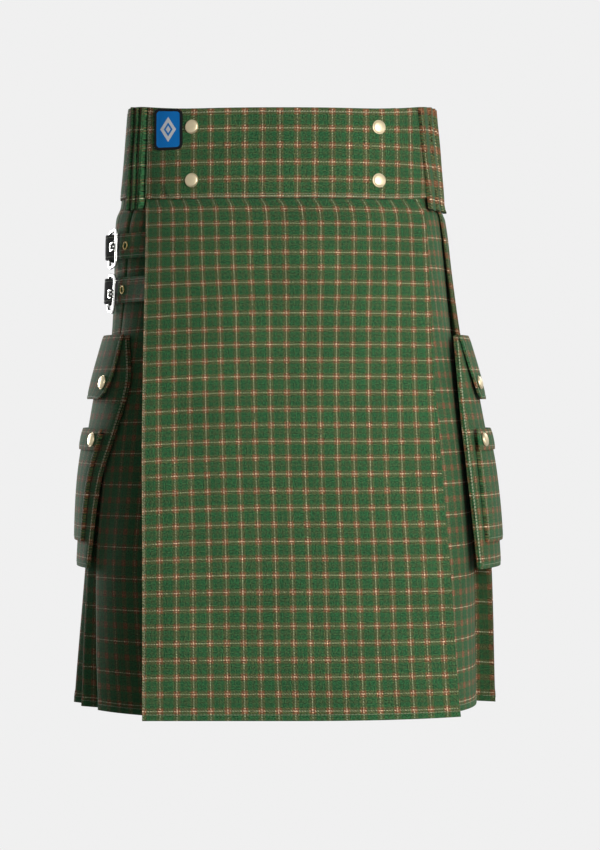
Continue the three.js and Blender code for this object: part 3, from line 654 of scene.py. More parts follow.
# the strip runs from its start behind the front once round, and on to its end on the left
def buildWaistband():
    z = gridRows(sizes["bandTop"], sizes["seamFront"], waistband["rowPitch"])
    down = z[:, None]
    total = ringsAt(z)[1][:, -1:]
    endX = mix(waistband["endBottomX"], waistband["endTopX"], (z - z[-1]) / (z[0] - z[-1]))
    start = wayToFrontX(z, waistband["innerEndX"])[:, None] - total
    end = total + wayToFrontX(z, endX)[:, None]
    way = mix(start, end, np.linspace(0, 1, waistband["columns"]))
    route = onOutline(z, way, -sizes["band"] / 2 - lapAt(z, way))
    towardsSeam = np.clip((-down - 15) / waistband["riseOver"], 0, 1)
    level = down + sizes["seamRise"] * risen(route[..., 1]) * towardsSeam + topLift(down, route[..., 1])
    outerLap = (way > total * 0.5) & (route[..., 1] < 0)
    relief = np.where(outerLap, reliefOf(route[..., 0], level, waistband["creases"]), 0)
    aboveSeam, belowTop = level - level[-1], level[0] - level
    relief -= groove(aboveSeam - waistband["bottomStitch"], 1.8, 0.35)
    relief -= groove(belowTop - waistband["topStitch"], 1.8, 0.3)
    relief -= rolledEdge(np.minimum(aboveSeam, belowTop), 1.2, 0.5)
    across = (way - total - sizes["lineAboveSeam"]) * sizes["check"] / waistband["checkAcross"]
    uv = clothMap(across + sizes["check"] / 2, bandCheckUp(z))
    seams = [("top", waistband["topStitch"], 3, 3), ("bottom", waistband["bottomStitch"], 3, 3),
             ("bottom", waistband["edgeStitch"], 3, 3), ("right", waistband["endStitch"], 3, 3)]
    addCloth("waistband", "waistband", wallBeside(route, level, sizes["band"], relief), uv, "apron",
             seams)


buildWaistband()

print("kilt: aprons and pleats")
skirt = {
    "topRows": [-46, -48, -50], "easeBottom": -110, "easeRows": 18,    # rows are closer under the seam
    "hemEdge": 9, "hemRaised": 0.5, "hemStitch": 6.0,
    "emerge": 30,                            # how far under the seam a layer takes to reach the outline
}
apron = {
    "z":         [-46, -53, -70, -98, -147, -196, -245, -294, -340, -430, -500, -564],
    "front":     [108.4, 114, 123, 136, 155, 167, 177, 185, 189, 190, 190, 190],
    "leftX":     [-139, -139, -138.5, -138, -137.5, -137.5, -137.5, -137.5, -137, -136.5, -136.5, -136.5],
    "leftBack":  [40, 39, 36, 33, 25, 17, 11, 7, 4, 2, 1, 0],
    "rightX":    [141, 143, 146, 147, 149, 150.5, 153, 156.5, 159.6, 167.4, 171.5, 176.3],
    "rightBack": [43, 43, 43, 43, 42, 41, 40, 39, 38, 37, 36, 36],
    "bow": 2.6, "return": 52, "returnGap": 5.5, "columns": 100, "returnColumns": 15, "across": 310,
    "pucker": {"deep": 0.45, "over": 16, "long": 5.2, "sway": 1.3, "swayLong": 17},
    # fromX, fromZ, toX, toZ, width, depth
    "folds": [
        (-118, -190, -74, -400, 17, -1.3),
        (-112, -380, -96, -560, 20, 1.2),
        (-18, -120, 14, -340, 22, -0.9),
        (8, -350, 2, -560, 30, 1.0),
        (104, -240, 124, -420, 16, -1.1),
        (88, -420, 76, -560, 22, 0.8),
        (-60, -430, -50, -564, 18, -0.8),
        (60, -80, 78, -200, 16, -0.7),
        (-84, -70, -66, -170, 14, -0.6),
    ],
}
# where the check's rows lie down the middle of the outer apron, counted up from the hem's line
apronCheck = {"z": [-46, -57.6, -102.4, -148.1, -210.6, -322.3, -437.7, -554.2, -564],
              "row": [31.75, 31, 28, 25, 21, 14, 7, 0, -0.6]}
# how much lower a row of the check lies at the apron's left and right edges, and how many lines
# fit across, with their bunching towards the edges
apronDroop = {"z": [-46, -60, -112, -165, -320, -375, -437, -564],
              "left": [-1, -0.5, 1.3, 3.9, 4.2, 3.7, 2.6, 0.5],
              "right": [0, 0, 0, 0, 0.4, 1, 1.4, 1.4],
              "lines": [18.2, 18.2, 18.25, 18.3, 18.55, 18.6, 18.7, 18.8],
              "bunch": [0.41, 0.41, 0.36, 0.2, 0.03, 0, 0, 0]}
pleats = {
    "z":           [-46, -62, -120, -170, -250, -330, -430, -500, -564],
    "leftFoldX":   [-153, -156, -159, -164, -175, -184, -191, -190, -187],
    "rightCrestX": [161, 166, 174, 181, 195, 207.5, 217, 220, 222],
    "opened":      [0, 0.04, 0.16, 0.28, 0.46, 0.64, 0.83, 0.93, 1],
    "count": 18, "layer": 2.05,
    "endStep": 3.45, "startStep": 3.55,    # where one cut length ends in a fold and the next one starts
    "checkDown": 15.8, "hemLine": 9.3,     # the pitch of the check's rows, and its lowest one
    "checkAt": -430,                       # the height where the check's columns are measured
    # each cut length's first and last pleat
    "lengths": {"pleats_left": (0, 5), "pleats_back_left": (5, 9), "pleats_back_right": (9, 13),
                "pleats_right": (13, 18)},
}
# One pleat from its crest to the next: distances along in mm, or as a share of its width, and the
# depth under the outline, pressed flat and opened
pleatPath = np.array([
    # along    open   share  open    deep                 open
    (0,        0,     0,     0,      0,                   0),
    (0,        -1.4,  0,     0,      pleats["layer"],     3.2),
    (-11,      -3.6,  0,     0,      pleats["layer"],     11.5),
    (-22,      -6,    0,     0,      pleats["layer"],     20.6),
    (-22,      -4.2,  0,     0,      2 * pleats["layer"], 23),
    (-11,      1.5,   0,     0,      2 * pleats["layer"], 21.4),
    (0.6,      0,     0,     0.2,    2 * pleats["layer"], 18.2),
    (7,        0,     0,     0.6,    0.1,                 9.4),
])
sidePanel = {"start": (0.6, 8), "deep": 19.5, "reach": 0.8, "hollow": 1.15, "columns": 33}
skirtZ = np.concatenate([
    skirt["topRows"][:-1],
    np.linspace(skirt["topRows"][-1], skirt["easeBottom"], skirt["easeRows"])[:-1],
    gridRows(skirt["easeBottom"], sizes["hem"], sizes["rowPitch"])])
crestInset = sizes["cloth"] / 2 + 0.1
bandInset = sizes["band"] + 0.5 + sizes["band"] / 2


# how far under the seam each row has come: 0 at the seam, 1 from a distance on
def belowSeam(distance):
    return smooth((sizes["seamFront"] - skirtZ) / distance)[:, None]


# rows follow their heights, but the first ones rise to the seam at the sides and back
def skirtLevel(y):
    fade = np.clip((skirtZ[:, None] + 50) / 4, 0, 1)
    return skirtZ[:, None] + fade * (sizes["seamRise"] * risen(y) - sizes["seam"])


# a hem's turned edge is a little thicker, and its line of stitches lies in a trough
def hemRelief():
    up = skirtZ[:, None] - sizes["hem"]
    raised = skirt["hemRaised"] * smooth((skirt["hemEdge"] - up) / 2)
    return raised - groove(up - skirt["hemStitch"], 1.3, 0.45)


def addSkirtWall(name, node, route, uv, material, relief, seams):
    outer, inner = wallBeside(route, skirtLevel(route[..., 1]), sizes["cloth"], relief)
    addCloth(name, node, (outer, inner), uv, material, seams,
             measured=(outer + inner) / 2)


# the outer apron's plan: how far back it lies grows as a power of the share of the way to its edge
def apronPlan(z, x):
    edge = np.where(x < 0, curveDown(apron, "leftX", z), curveDown(apron, "rightX", z))
    back = np.where(x < 0, curveDown(apron, "leftBack", z), curveDown(apron, "rightBack", z))
    y = -curveDown(apron, "front", z) + sizes["cloth"] / 2 + back * np.abs(x / edge) ** apron["bow"]
    return np.stack([x, y], axis=-1)


# the gap between the apron's face and what is turned behind it at the right
def returnGap():
    return mix(pleats["layer"], apron["returnGap"], belowSeam(420))


def buildOuterApron():
    z = skirtZ
    leftX, rightX = curveDown(apron, "leftX", z), curveDown(apron, "rightX", z)
    share = np.linspace(0, 1, apron["columns"])
    face = apronPlan(z, mix(leftX, rightX, share))
    fold = np.stack([rightX - 0.3, face[:, -1:, 1] + returnGap()], axis=-1)
    turned = np.linspace(0.06, 1, apron["returnColumns"]) * apron["return"]
    behind = apronPlan(z, rightX - turned)
    behind[..., 1] += returnGap()
    route = np.concatenate([face, fold, behind], axis=1)[:, ::-1]
    faceShare = np.concatenate([share, [1.004], 1.004 + turned / apron["across"]])[::-1]
    onFace = faceShare <= 1
    bunched = curveDown(apronDroop, "bunch", z) * np.sin(2 * np.pi * np.minimum(faceShare, 1))
    column = curveDown(apronDroop, "lines", z) * faceShare + bunched
    # the lines slant for the few millimetres under the seam, where the cloth is eased into it
    column = column + 0.2 * (1 - belowSeam(9))
    x = route[..., 0]
    drop = np.where(x < 0, curveDown(apronDroop, "left", z) * np.minimum(1, np.abs(x / leftX)) ** 2,
                    curveDown(apronDroop, "right", z) * np.minimum(1, np.abs(x / rightX)) ** 2)
    level = skirtLevel(route[..., 1])
    row = np.interp(level + drop, apronCheck["z"][::-1], apronCheck["row"][::-1])
    uv = clothMap((column + 0.44) * sizes["check"], (row + 0.5) * sizes["check"])
    pucker = apron["pucker"]
    wavy = np.sin(x / pucker["long"] + pucker["sway"] * np.sin(x / pucker["swayLong"]))
    puckers = pucker["deep"] * wavy * (1 - belowSeam(pucker["over"]))
    relief = np.where(onFace, reliefOf(x, level, apron["folds"]) + puckers, 0) + hemRelief()
    seams = [("bottom", skirt["hemStitch"], apron["return"] + 4, 2), ("right", 2.4, 2, 8)]
    addSkirtWall("apronOuter", "apron_outer", route, uv, "apron", relief, seams)


# the way round to the crest of pleat k
def crestWay(z, k):
    first = wayToFrontX(z, curve(pleats, "leftFoldX", z))[:, None]
    last = wayToFrontX(z, curve(pleats, "rightCrestX", z))[:, None]
    return mix(first, last, np.asarray(k) / pleats["count"])


# points of the pleats' path: k is which pleat, and step which row of pleatPath or place between rows
def pleatPoints(k, step):
    opened = curveDown(pleats, "opened", skirtZ)
    row = np.minimum(np.floor(step).astype(int), len(pleatPath) - 2)
    path = mix(pleatPath[row], pleatPath[row + 1], (step - row)[:, None])
    crest = crestWay(skirtZ, k)
    width = crestWay(skirtZ, k + 1) - crest
    share = mix(path[:, 2], path[:, 3], opened)
    way = crest + mix(path[:, 0], path[:, 1], opened) + share * width
    underBand = (1 - smooth((k + share) / 3)) * (1 - belowSeam(skirt["emerge"]))
    deep = mix(crestInset, bandInset, underBand) + mix(path[:, 4], path[:, 5], opened)
    return onOutline(skirtZ, way, -deep)


# a wall of the pleated skirt, whose check runs along the cloth and up from the hem
def addPleatedWall(name, node, route, startAcross):
    route = eased(route, 1)
    run = runAlong(route, 1)[np.argmin(np.abs(skirtZ - pleats["checkAt"]))]
    up = runAlong(withHeight(route, skirtLevel(route[..., 1]))[::-1], 0)[::-1]
    row = (up - pleats["hemLine"]) / pleats["checkDown"] + 0.5
    uv = clothMap(startAcross - run, row * sizes["check"])
    seams = [("bottom", skirt["hemStitch"], 4, 4)]
    addSkirtWall(name, node, route, uv, "skirt", hemRelief(), seams)


def buildUnderApron():
    start = wayToFrontX(skirtZ, 70.0)[:, None] - ringsAt(skirtZ)[1][:, -1:]
    way = mix(start, crestWay(skirtZ, 0), np.linspace(0, 1, 90)[:-1])
    face = onOutline(skirtZ, way, -mix(bandInset, crestInset, belowSeam(skirt["emerge"])))
    fold = refined(pleatPoints(np.zeros(5, int), np.array([0, 1, 2, 3, pleats["endStep"]])), 5)
    addPleatedWall("apronUnder", "apron_under", np.concatenate([face, fold], axis=1), 4)


def buildPleats():
    steps = len(pleatPath)
    for node, (first, last) in pleats["lengths"].items():
        step = np.concatenate([
            [pleats["startStep"]], np.arange(4, steps), np.tile(np.arange(steps), last - first - 1),
            np.arange(4), [pleats["endStep"]]])
        k = np.concatenate([
            np.full(5, first), np.repeat(np.arange(first + 1, last), steps), np.full(5, last)])
        route = refined(pleatPoints(k, step), 4)
        addPleatedWall(joined(*node.split("_")), node, route, 7 + 5 * first)


# the panel behind the outer apron's right edge, from the last pleat's inner fold to that edge's return
def buildSidePanel():
    z = skirtZ
    opened = curveDown(pleats, "opened", z)
    endX = curveDown(apron, "rightX", z) - apron["return"]
    end = apronPlan(z, endX)
    end[..., 1] += returnGap() + pleats["layer"] + 0.7
    endWay = wayToFrontX(z, endX[:, 0])[:, None]
    inward = onOutline(z, endWay) - onOutline(z, endWay, 1.0)
    endDeep = np.sum((end - onOutline(z, endWay)) * inward, axis=-1)
    fold = refined(pleatPoints(np.full(3, pleats["count"]), np.array([pleats["startStep"], 4, 5])), 4)
    startWay = crestWay(z, pleats["count"]) + mix(*sidePanel["start"], opened)
    startDeep = crestInset + mix(2 * pleats["layer"], sidePanel["deep"], opened)
    share = sidePanel["reach"] * np.linspace(0, 1, sidePanel["columns"])
    deep = mix(startDeep, endDeep, share ** sidePanel["hollow"])
    across = onOutline(z, mix(startWay, endWay, share), -deep)
    rest = refined(np.concatenate([across[:, -1:], end], axis=1), 6)[:, 1:]
    addPleatedWall("sidePanel", "side_panel", np.concatenate([fold, across, rest], axis=1), 11)


buildOuterApron()
buildUnderApron()
buildPleats()
buildSidePanel()

print("kilt: tucks")
tucks = {
    "z": [45.6, -46, -62], "leftX": [-139.5, -143, -143.5], "rightX": [138.5, 148.5, 150],
    "count": {"left": 3, "right": 4}, "width": {"left": 9, "right": 15}, "top": 45.6, "bottom": -53,
    "edge": 1.7, "scallop": 3.0, "lineBehindFold": 1.5, "columns": 140,
    # finer folds pressed into each side's: mm along, width, depth
    "grooves": {
        "left": [(1.5, 0.9, -1.6), (4.6, 0.8, -1.3), (8.7, 1.0, -2.4), (13.4, 0.8, -1.4), (17.7, 1.1, -2.4),
                 (22.5, 0.9, -1.3)],
        "right": [(14.2, 1.4, -2.6), (29.2, 1.4, -2.6), (44.2, 1.4, -2.8), (59, 1.2, -1.2)],
    },
    # across one tuck: share of its width, and how far its outside stands off
    "share": [0, 0.03, 0.07, 0.2, 0.45, 0.8, 0.97], "out": [1.7, 3.6, 4.7, 4.8, 4.3, 3.1, 2.3],
}


# A strip of tucks on the waistband's side. Each tuck stands highest at its fold, which looks
# forward, and the strip's lower edge is scalloped below the seam.
def buildTucks(side):
    onRight = side == "right"
    z = np.concatenate([gridRows(tucks["top"], sizes["seamFront"], 3.5), [-50, -52.5, tucks["bottom"]]])
    down = z[:, None]
    count, pitch = tucks["count"][side], tucks["width"][side]
    width = count * pitch
    share = np.concatenate([(k + np.array(tucks["share"])) / count for k in range(count)] + [[1.0]])
    out = np.concatenate([np.tile(tucks["out"], count), [tucks["edge"]]])
    if onRight:
        share, out = 1 - share[::-1], out[::-1]
    fineShare = np.unique(np.concatenate([share, np.linspace(0, 1, tucks["columns"])]))
    fineOut = np.interp(fineShare, share, out)
    run = fineShare * width
    edge = wayToFrontX(z, curve(tucks, side + "X", z))[:, None]
    way = (edge - width if onRight else edge) + run
    underSeam = np.maximum(0, sizes["seamFront"] - down)
    scallop = tucks["scallop"] * np.sin(np.pi * (fineShare * count % 1))
    level = down - scallop * underSeam / 9 + topLift(down, onOutline(z, way)[..., 1])
    uneven = 0.35 * np.sin(down / 11 + 5 * fineShare)
    for along, wide, deep in tucks["grooves"][side]:
        uneven = uneven + groove(run - along + down / 60, wide, deep)
    outer = withHeight(onOutline(z, way, fineOut + uneven * (fineOut > 2.5)), level)
    behind = 0 * way if onRight else lapAt(z, way)
    inner = withHeight(onOutline(z, way, 2 * sizes["seam"] - behind), level)
    # on the right a line of the check lies along each fold
    fromEdge = (1 - fineShare if onRight else fineShare) * width - tucks["lineBehindFold"]
    across = fromEdge * sizes["check"] / pitch + (sizes["check"] / 2 if onRight else 0)
    uv = clothMap(across, bandCheckUp(z))
    addCloth(joined("tucks", side), "tucks_" + side, (outer, inner), uv, "skirt")


buildTucks("left")
buildTucks("right")

print("kilt: straps and buckles")
straps = {"upper": -92, "lower": -137.3}
# where along it a strap stands off the pleats, and by how much, as it climbs over its buckle
strap = {
    "width": 26, "thick": 2.4, "along": [0, 8, 15, 21, 28, 36, 40.5, 45, 56, 66, 82, 98],
    "out": [0.6, 0.6, 0.6, 1.2, 3.3, 6.2, 7.9, 7.9, 3.8, 2.6, 2.6, 2.6],
    "behindApron": (20, 8), "columns": 64, "stitch": 3, "stitchLift": 0.12,
}
buckle = {"high": 41, "long": 30, "bar": 3.6, "thick": 3, "corner": 7, "start": 14, "out": 5,
          "sag": {"upper": 2.0, "lower": 3.0}}
prong = {"long": 26, "fromBar": 1.5, "thick": (2.4, 1.4),
         "share": [0, 0.1, 0.25, 0.5, 0.8, 1], "lift": [3.4, 2.2, -3.6, -2.8, 0.9, 2.1],
         "loopLong": 11, "loopHigh": 7.4, "loopThick": 2.1, "loopCorner": 2.6, "loopLift": 4.0}
chape = {"from": -6, "to": 24, "columns": 24, "thick": 1.5, "out": 0.5}
eyelet = {"outer": 4.6, "inner": 2.8, "places": [0.5, 64, 86]}
stud = {"radius": 7.2, "rim": 0.9, "height": 3.1, "lift": {"band": 0.4, "pocket": 0.5},
        "bandX": {"left": -91.5, "right": 98}, "bandZ": {"top": 27.3, "bottom": -27.3}}
outwards = np.array([0, 0, 1.0])


# The place and axes of a small fitting that sits on a surface, from four points about its middle: x
# along the surface, y up it, z out of it. pointAt gives the surface's point so far up and along.
def seatFrame(pointAt, lift):
    up = unit(pointAt(5, 0) - pointAt(-5, 0))
    along = unit(pointAt(0, 5) - pointAt(0, -5))
    out = unit(np.cross(up, along))
    return pointAt(0, 0) + out * lift, np.stack([np.cross(up, out), up, out])


# a hard fitting: a grid of points, given in the frame of its seat
def addFitting(name, node, grid, seat, metal, ring=False, sharp=50):
    piece = addTube(name, seat[0] + grid @ seat[1], materials[metal], ring, sharp)
    if node:
        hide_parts(node)


# a turned shape: a profile of (radius, height) carried round the axis
def lathe(profile, turns):
    turn = np.linspace(0, 2 * np.pi, turns + 1)[:-1]
    radius, height = np.array(profile, float).T
    return np.stack([radius[:, None] * np.cos(turn), radius[:, None] * np.sin(turn),
                     np.repeat(height[:, None], turns, axis=1)], axis=-1)


# a round section carried along a path that bends only in its own plane
def sweep(path, radius, turns=12):
    along = unit(np.gradient(path, axis=0))
    across = unit(np.cross(along, outwards))
    over = np.cross(across, along)
    turn = np.linspace(0, 2 * np.pi, turns + 1)[:-1][:, None]
    radius = np.broadcast_to(radius, len(path))[:, None, None]
    return path[:, None] + radius * (across[:, None] * np.cos(turn) + over[:, None] * np.sin(turn))


def crestAt(z):
    return crestWay(np.array([float(z)]), 0)[0, 0]


# a snap's cap: a rolled rim and a dome, which is a quarter of an ellipse
def addStud(name, node, seat):
    r, rim = stud["radius"], stud["rim"]
    swell = np.linspace(0.9, 0.02, 12)
    dome = [(r * share, mix(rim, stud["height"], math.sqrt(1 - share * share))) for share in swell]
    rolled = [(0.02, -0.3), (r - 0.6, -0.3), (r - 0.1, 0.1), (r, rim * 0.5), (r - 0.15, rim * 0.95),
              (r * 0.93, rim)]
    addFitting(name, node, lathe(rolled + dome, 40), seat, "brass", sharp=60)


def bandSeat(x, z):
    def pointAt(up, along):
        return onRing(z + up, wayToFrontX(np.array([z + up]), x)[0] + along)

    return seatFrame(pointAt, stud["lift"]["band"])


def buildStrap(name, z):
    heights = gridRows(z + strap["width"] / 2, z - strap["width"] / 2, 1.6)
    behind = apronPlan(heights, curveDown(apron, "leftX", heights) + np.linspace(*strap["behindApron"], 5))
    behind[..., 1] += sizes["cloth"] / 2 + 1 + strap["thick"] / 2
    at = np.linspace(0, strap["along"][-1], strap["columns"])
    out = np.interp(at, strap["along"], strap["out"]) + strap["thick"] / 2
    lying = onOutline(heights, crestWay(heights, 0) + at, np.tile(out, (len(heights), 1)))
    between = refined(np.stack([behind[:, -1], lying[:, 0]], 1), 6)[:, 1:-1]
    route = eased(np.concatenate([behind, between, lying], axis=1), 2)
    down = (heights[0] - heights)[:, None]
    fromEdge = np.minimum(down, strap["width"] - down)
    relief = -rolledEdge(fromEdge, 1.4, 0.55) - groove(fromEdge - strap["stitch"], 0.9, 0.3)
    walls = wallBeside(route, heights[:, None], strap["thick"], relief)
    run = runAlong(walls[0], 1)
    # the map's 0 lies on the buckle's near bar, from where the strap's colour is painted shade
    nearBar = route.shape[1] - len(at) + np.searchsorted(at, buckle["start"])
    uv = clothMap(run - run[:, nearBar, None], heights[:, None] + 5)
    seams = [(border, strap["stitch"], 2, 2, strap["stitchLift"]) for border in ("top", "bottom")]
    addCloth(joined("strap", name), "strap_" + name, walls, uv, "strap",
             seams)


# each eyelet is a rolled ring with an oval section
def buildEyelets(name, z):
    turn = np.linspace(0, 2 * np.pi, 13)[:-1]
    middle = (eyelet["outer"] + eyelet["inner"]) / 2
    half = (eyelet["outer"] - eyelet["inner"]) / 2
    profile = np.stack([middle + half * np.cos(turn), 0.35 + 0.65 * np.sin(turn)], axis=-1)
    for i, place in enumerate(eyelet["places"], 1):
        def pointAt(up, along):
            at = place + along / 2
            out = np.interp(at, strap["along"], strap["out"]) + strap["thick"]
            return onRing(z + up, crestAt(z + up) + at, out)

        seat = seatFrame(pointAt, sizes["seam"])
        addFitting(f"{joined('eyelet', name)}{i}", f"eyelet_{name}_{i}", lathe(profile, 32), seat,
                   "eyeletBrass", ring=True)


# a buckle's frame, an oval bar carried round a rounded rectangle, and its prong in two pieces
def buildBuckle(name, z):
    halfLong, halfHigh = (buckle["long"] - buckle["bar"]) / 2, (buckle["high"] - buckle["bar"]) / 2
    corner = buckle["corner"] - buckle["bar"] / 2
    turn = np.radians(np.arange(0, 360, 3.0))
    x = np.sign(np.cos(turn)) * (halfLong - corner) + corner * np.cos(turn)
    y = np.sign(np.sin(turn)) * (halfHigh - corner) + corner * np.sin(turn)
    spine = np.stack([x, y, 0 * turn], axis=-1)
    spine = refined(np.concatenate([spine, spine[:1]])[None], 2)[0][:-1]
    ahead = np.roll(spine, -1, axis=0) - np.roll(spine, 1, axis=0)
    beyond = unit(np.cross(ahead, outwards))
    section = np.linspace(0, 2 * np.pi, 17)[:-1][:, None]
    wide = signedPower(np.cos(section), 0.8) * buckle["bar"] / 2
    frameGrid = spine[:, None] + beyond[:, None] * wide + outwards * np.sin(section) * buckle["thick"] / 2
    middle = buckle["start"] + buckle["long"] / 2
    low = z - buckle["sag"][name]

    def pointAt(up, along):
        return onRing(low + up, crestAt(low + up) + middle + along)

    seat = seatFrame(pointAt, buckle["out"])
    addFitting(joined("buckle", name, "frame"), "buckle_" + name, frameGrid, seat, "nickel",
               ring=True)
    addFitting(joined("prong", name, "rod"), "prong_" + name, prongRod(), seat, "nickel")
    addFitting(joined("prong", name, "loop"), None, prongLoop(), seat, "nickel")


# the prong's rod tapers from the near bar, down through the strap and on to the far bar
def prongRod():
    share = np.linspace(0, 1, 40)
    x = buckle["long"] / 2 - prong["fromBar"] - prong["long"] * share
    path = np.stack([x, 0 * x, np.interp(share, prong["share"], prong["lift"])], axis=-1)
    return sweep(eased(path[None], 4)[0], mix(*prong["thick"], share) / 2)


# the loop that the prong is bent from: round the near bar, and across in front of it
def prongLoop():
    turn = np.radians(np.linspace(-90, 90, 20))
    start = buckle["long"] / 2 + 0.6
    corner, halfHigh = prong["loopCorner"], prong["loopHigh"] / 2
    bendX = start - prong["loopLong"] + corner - corner * np.cos(turn)
    bendY = np.where(turn > 0, 1, -1) * (halfHigh - corner) + corner * np.sin(turn)
    x = np.concatenate([np.linspace(start, bendX[0], 6)[:-1], bendX, np.linspace(bendX[-1], start, 6)[1:]])
    y = np.concatenate([np.full(5, -halfHigh), bendY, np.full(5, halfHigh)])
    path = np.stack([x, y, np.full(len(x), prong["loopLift"])], axis=-1)
    return sweep(path, prong["loopThick"] / 2)


# the short strap that holds the buckle's far bar
def buildChape(name, z):
    heights = gridRows(z + strap["width"] / 2 - 1, z - strap["width"] / 2 + 1, 2.0)
    farBar = buckle["start"] + buckle["long"]
    at = farBar + np.linspace(chape["from"], chape["to"], chape["columns"])
    route = onOutline(heights, crestWay(heights, 0) + at, chape["out"] + chape["thick"] / 2)
    walls = wallBeside(route, heights[:, None], chape["thick"])
    uv = clothMap(runAlong(walls[0], 1) + 9, heights[:, None])
    addCloth(joined("chape", name), "chape_" + name, walls, uv, "skirt")


for across, x in stud["bandX"].items():
    for height, z in stud["bandZ"].items():
        addStud(joined("bandStud", across, height), f"stud_band_{across}_{height}", bandSeat(x, z))
for name, z in straps.items():
    buildStrap(name, z)
    buildEyelets(name, z)
    buildBuckle(name, z)
    buildChape(name, z)

print("kilt: pockets")
# where a pocket's front and back edges lie, as y on its side of the outline
pocketFront = {"z": [-184, -236, -282, -338, -380, -422],
               "left": [-86, -100, -92, -74, -68, -64], "right": [-62, -73, -80, -83, -83, -82]}
pocketBack = {"z": [-184, -422], "left": [90, 100], "right": [94, 94]}
# Each piece's ends, how far inside those edges it starts and stops at its top and bottom, how far
# it stands off the outline there, its thickness and crown, its cut corners, and what it rests on
pocketPieces = {
    "back": {"top": -184, "bottom": -421, "front": (0, 0), "behind": (0, 0),
             "off": (1.3, 4.3), "thick": 1.6, "crown": 0, "cut": 0, "on": "pleats_{}"},
    "bag": {"top": -185, "bottom": -422, "front": (0.4, 0.4), "behind": (0.4, 0.4),
            "off": (3.2, 6.2), "thick": 1.9, "crown": 2.6, "cut": 0, "on": "pocket_{}_back"},
    "flap": {"top": -183, "bottom": -249, "front": (3.5, 31), "behind": (3.5, 14),
             "off": (5.8, 12.5), "thick": 2, "crown": 1.5, "cut": 7, "on": "pocket_{}_bag"},
    "pouch": {"top": -284, "bottom": -395, "front": (16, 15), "behind": (26, 26),
              "off": (8.8, 9), "thick": 3.4, "crown": 2, "cut": 0, "on": "pocket_{}_bag"},
    "pouch_flap": {"top": -279, "bottom": -301, "front": (13, 11), "behind": (23, 23),
                   "off": (12.6, 13.7), "thick": 2, "crown": 0.6, "cut": 0, "on": "pocket_{}_pouch"},
}
pocketStuds = {"flap": -232, "pouch_flap": -290.5}     # height of the two snaps on each
pocketSewing = {"stitch": 4, "edging": (1.0, 3.6), "edgingLift": 0.2, "pipe": 2.4, "studInset": 12,
                "checkDown": 16.1, "lineUp": 1, "lineAlong": 9}


def shareDown(shape, z):
    return (shape["top"] - z) / (shape["top"] - shape["bottom"])


# the ways round to a piece's two ends, clockwise
def pocketWays(side, shape, z):
    corner = np.maximum(0, shape["cut"] - (z - shape["bottom"]))
    front = mix(*shape["front"], shareDown(shape, z)) + corner
    behind = mix(*shape["behind"], shareDown(shape, z)) + corner
    frontWay = wayToSideY(z, curve(pocketFront, side, z), side)
    backWay = wayToSideY(z, curve(pocketBack, side, z), side)
    return (frontWay + front, backWay - behind) if side == "left" else (backWay + behind, frontWay - front)


# how far a piece's inside stands off: its slope from top to bottom, and a crown that is a flattened
# half wave across and part of one down
def pocketOff(shape, share, down):
    bow = np.sin(np.pi * share) ** 0.6 * np.sin(np.pi * mix(0.1, 0.9, down))
    return mix(*shape["off"], down) + shape["crown"] * bow


def buildPocketPiece(side, part, shape):
    z = gridRows(shape["top"], shape["bottom"] + shape["cut"], 3.0)
    if shape["cut"]:
        z = np.concatenate([z, shape["bottom"] + np.array([4.5, 2.2, 0])])
    start, end = pocketWays(side, shape, z)
    near = np.array([0, 0.6, 1.2, 1.8, 2.4, 3, 3.6, 4.4]) / 190      # columns close to the side edges
    share = np.concatenate([near, np.linspace(0.03, 0.97, 60), 1 - near[::-1]])
    way = mix(start[:, None], end[:, None], share)
    inside = pocketOff(shape, share, shareDown(shape, z)[:, None])
    fromEdge = np.minimum(np.minimum(share, 1 - share) * (end - start)[:, None],
                          np.minimum(shape["top"] - z, z - shape["bottom"])[:, None])
    outside = inside + shape["thick"] - rolledEdge(fromEdge, 1.6, 0.6)
    seams, edging = [], []
    if part != "back":
        outside = outside - groove(fromEdge - pocketSewing["stitch"], 1.1, 0.35)
        seams = [(border, pocketSewing["stitch"], 4, 4) for border in ("left", "right", "bottom")]
    if part == "bag":
        outside = outside - groove(fromEdge - pocketSewing["pipe"], 0.5, 1.1)
        edging = [(side, inset, 2, 2, pocketSewing["edgingLift"]) for inset in pocketSewing["edging"]]
    outer = withHeight(onOutline(z, way, outside), z[:, None])
    inner = withHeight(onOutline(z, way, inside), z[:, None])
    up = (z[:, None] + pocketSewing["lineUp"]) * sizes["check"] / pocketSewing["checkDown"]
    uv = clothMap(pocketSewing["lineAlong"] - runAlong(outer, 1), up)
    addCloth(joined("pocket", side, *part.split("_")), f"pocket_{side}_{part}", (outer, inner), uv, "skirt",
             seams, edging)


def pocketSeat(side, shape, z, end):
    atStart = (end == "front") == (side == "left")

    def pointAt(up, along):
        level = np.array([z + up])
        start, stop = pocketWays(side, shape, level)
        way = (start + pocketSewing["studInset"] if atStart else stop - pocketSewing["studInset"]) + along
        inside = pocketOff(shape, (way - start) / (stop - start), shareDown(shape, level))
        return onRing(level[0], way[0], inside[0] + shape["thick"])

    return seatFrame(pointAt, stud["lift"]["pocket"])


def buildPocket(side):
    for part, shape in pocketPieces.items():
        buildPocketPiece(side, part, shape)
    for part, z in pocketStuds.items():
        for end in ("front", "back"):
            addStud(joined("pocketStud", side, *part.split("_"), end), f"stud_{side}_{part}_{end}",
                    pocketSeat(side, pocketPieces[part], z, end))


buildPocket("left")
buildPocket("right")

print("kilt: patch")
patch = {"fromX": -130, "toX": -101, "top": 45.6, "bottom": 4.5, "corner": 6, "thick": 1.4,
         "black": "#060708", "blue": "#0f78c8", "pale": "#d6d8da", "border": 2.6,
         "halfLozenge": (8.2, 12.5), "band": (0.78, 0.22), "core": 0.3,    # band: its middle and half width
         "stitchScale": 1 / 3}    # this draws them about 1.3 mm apart, and real ones are 0.5 mm


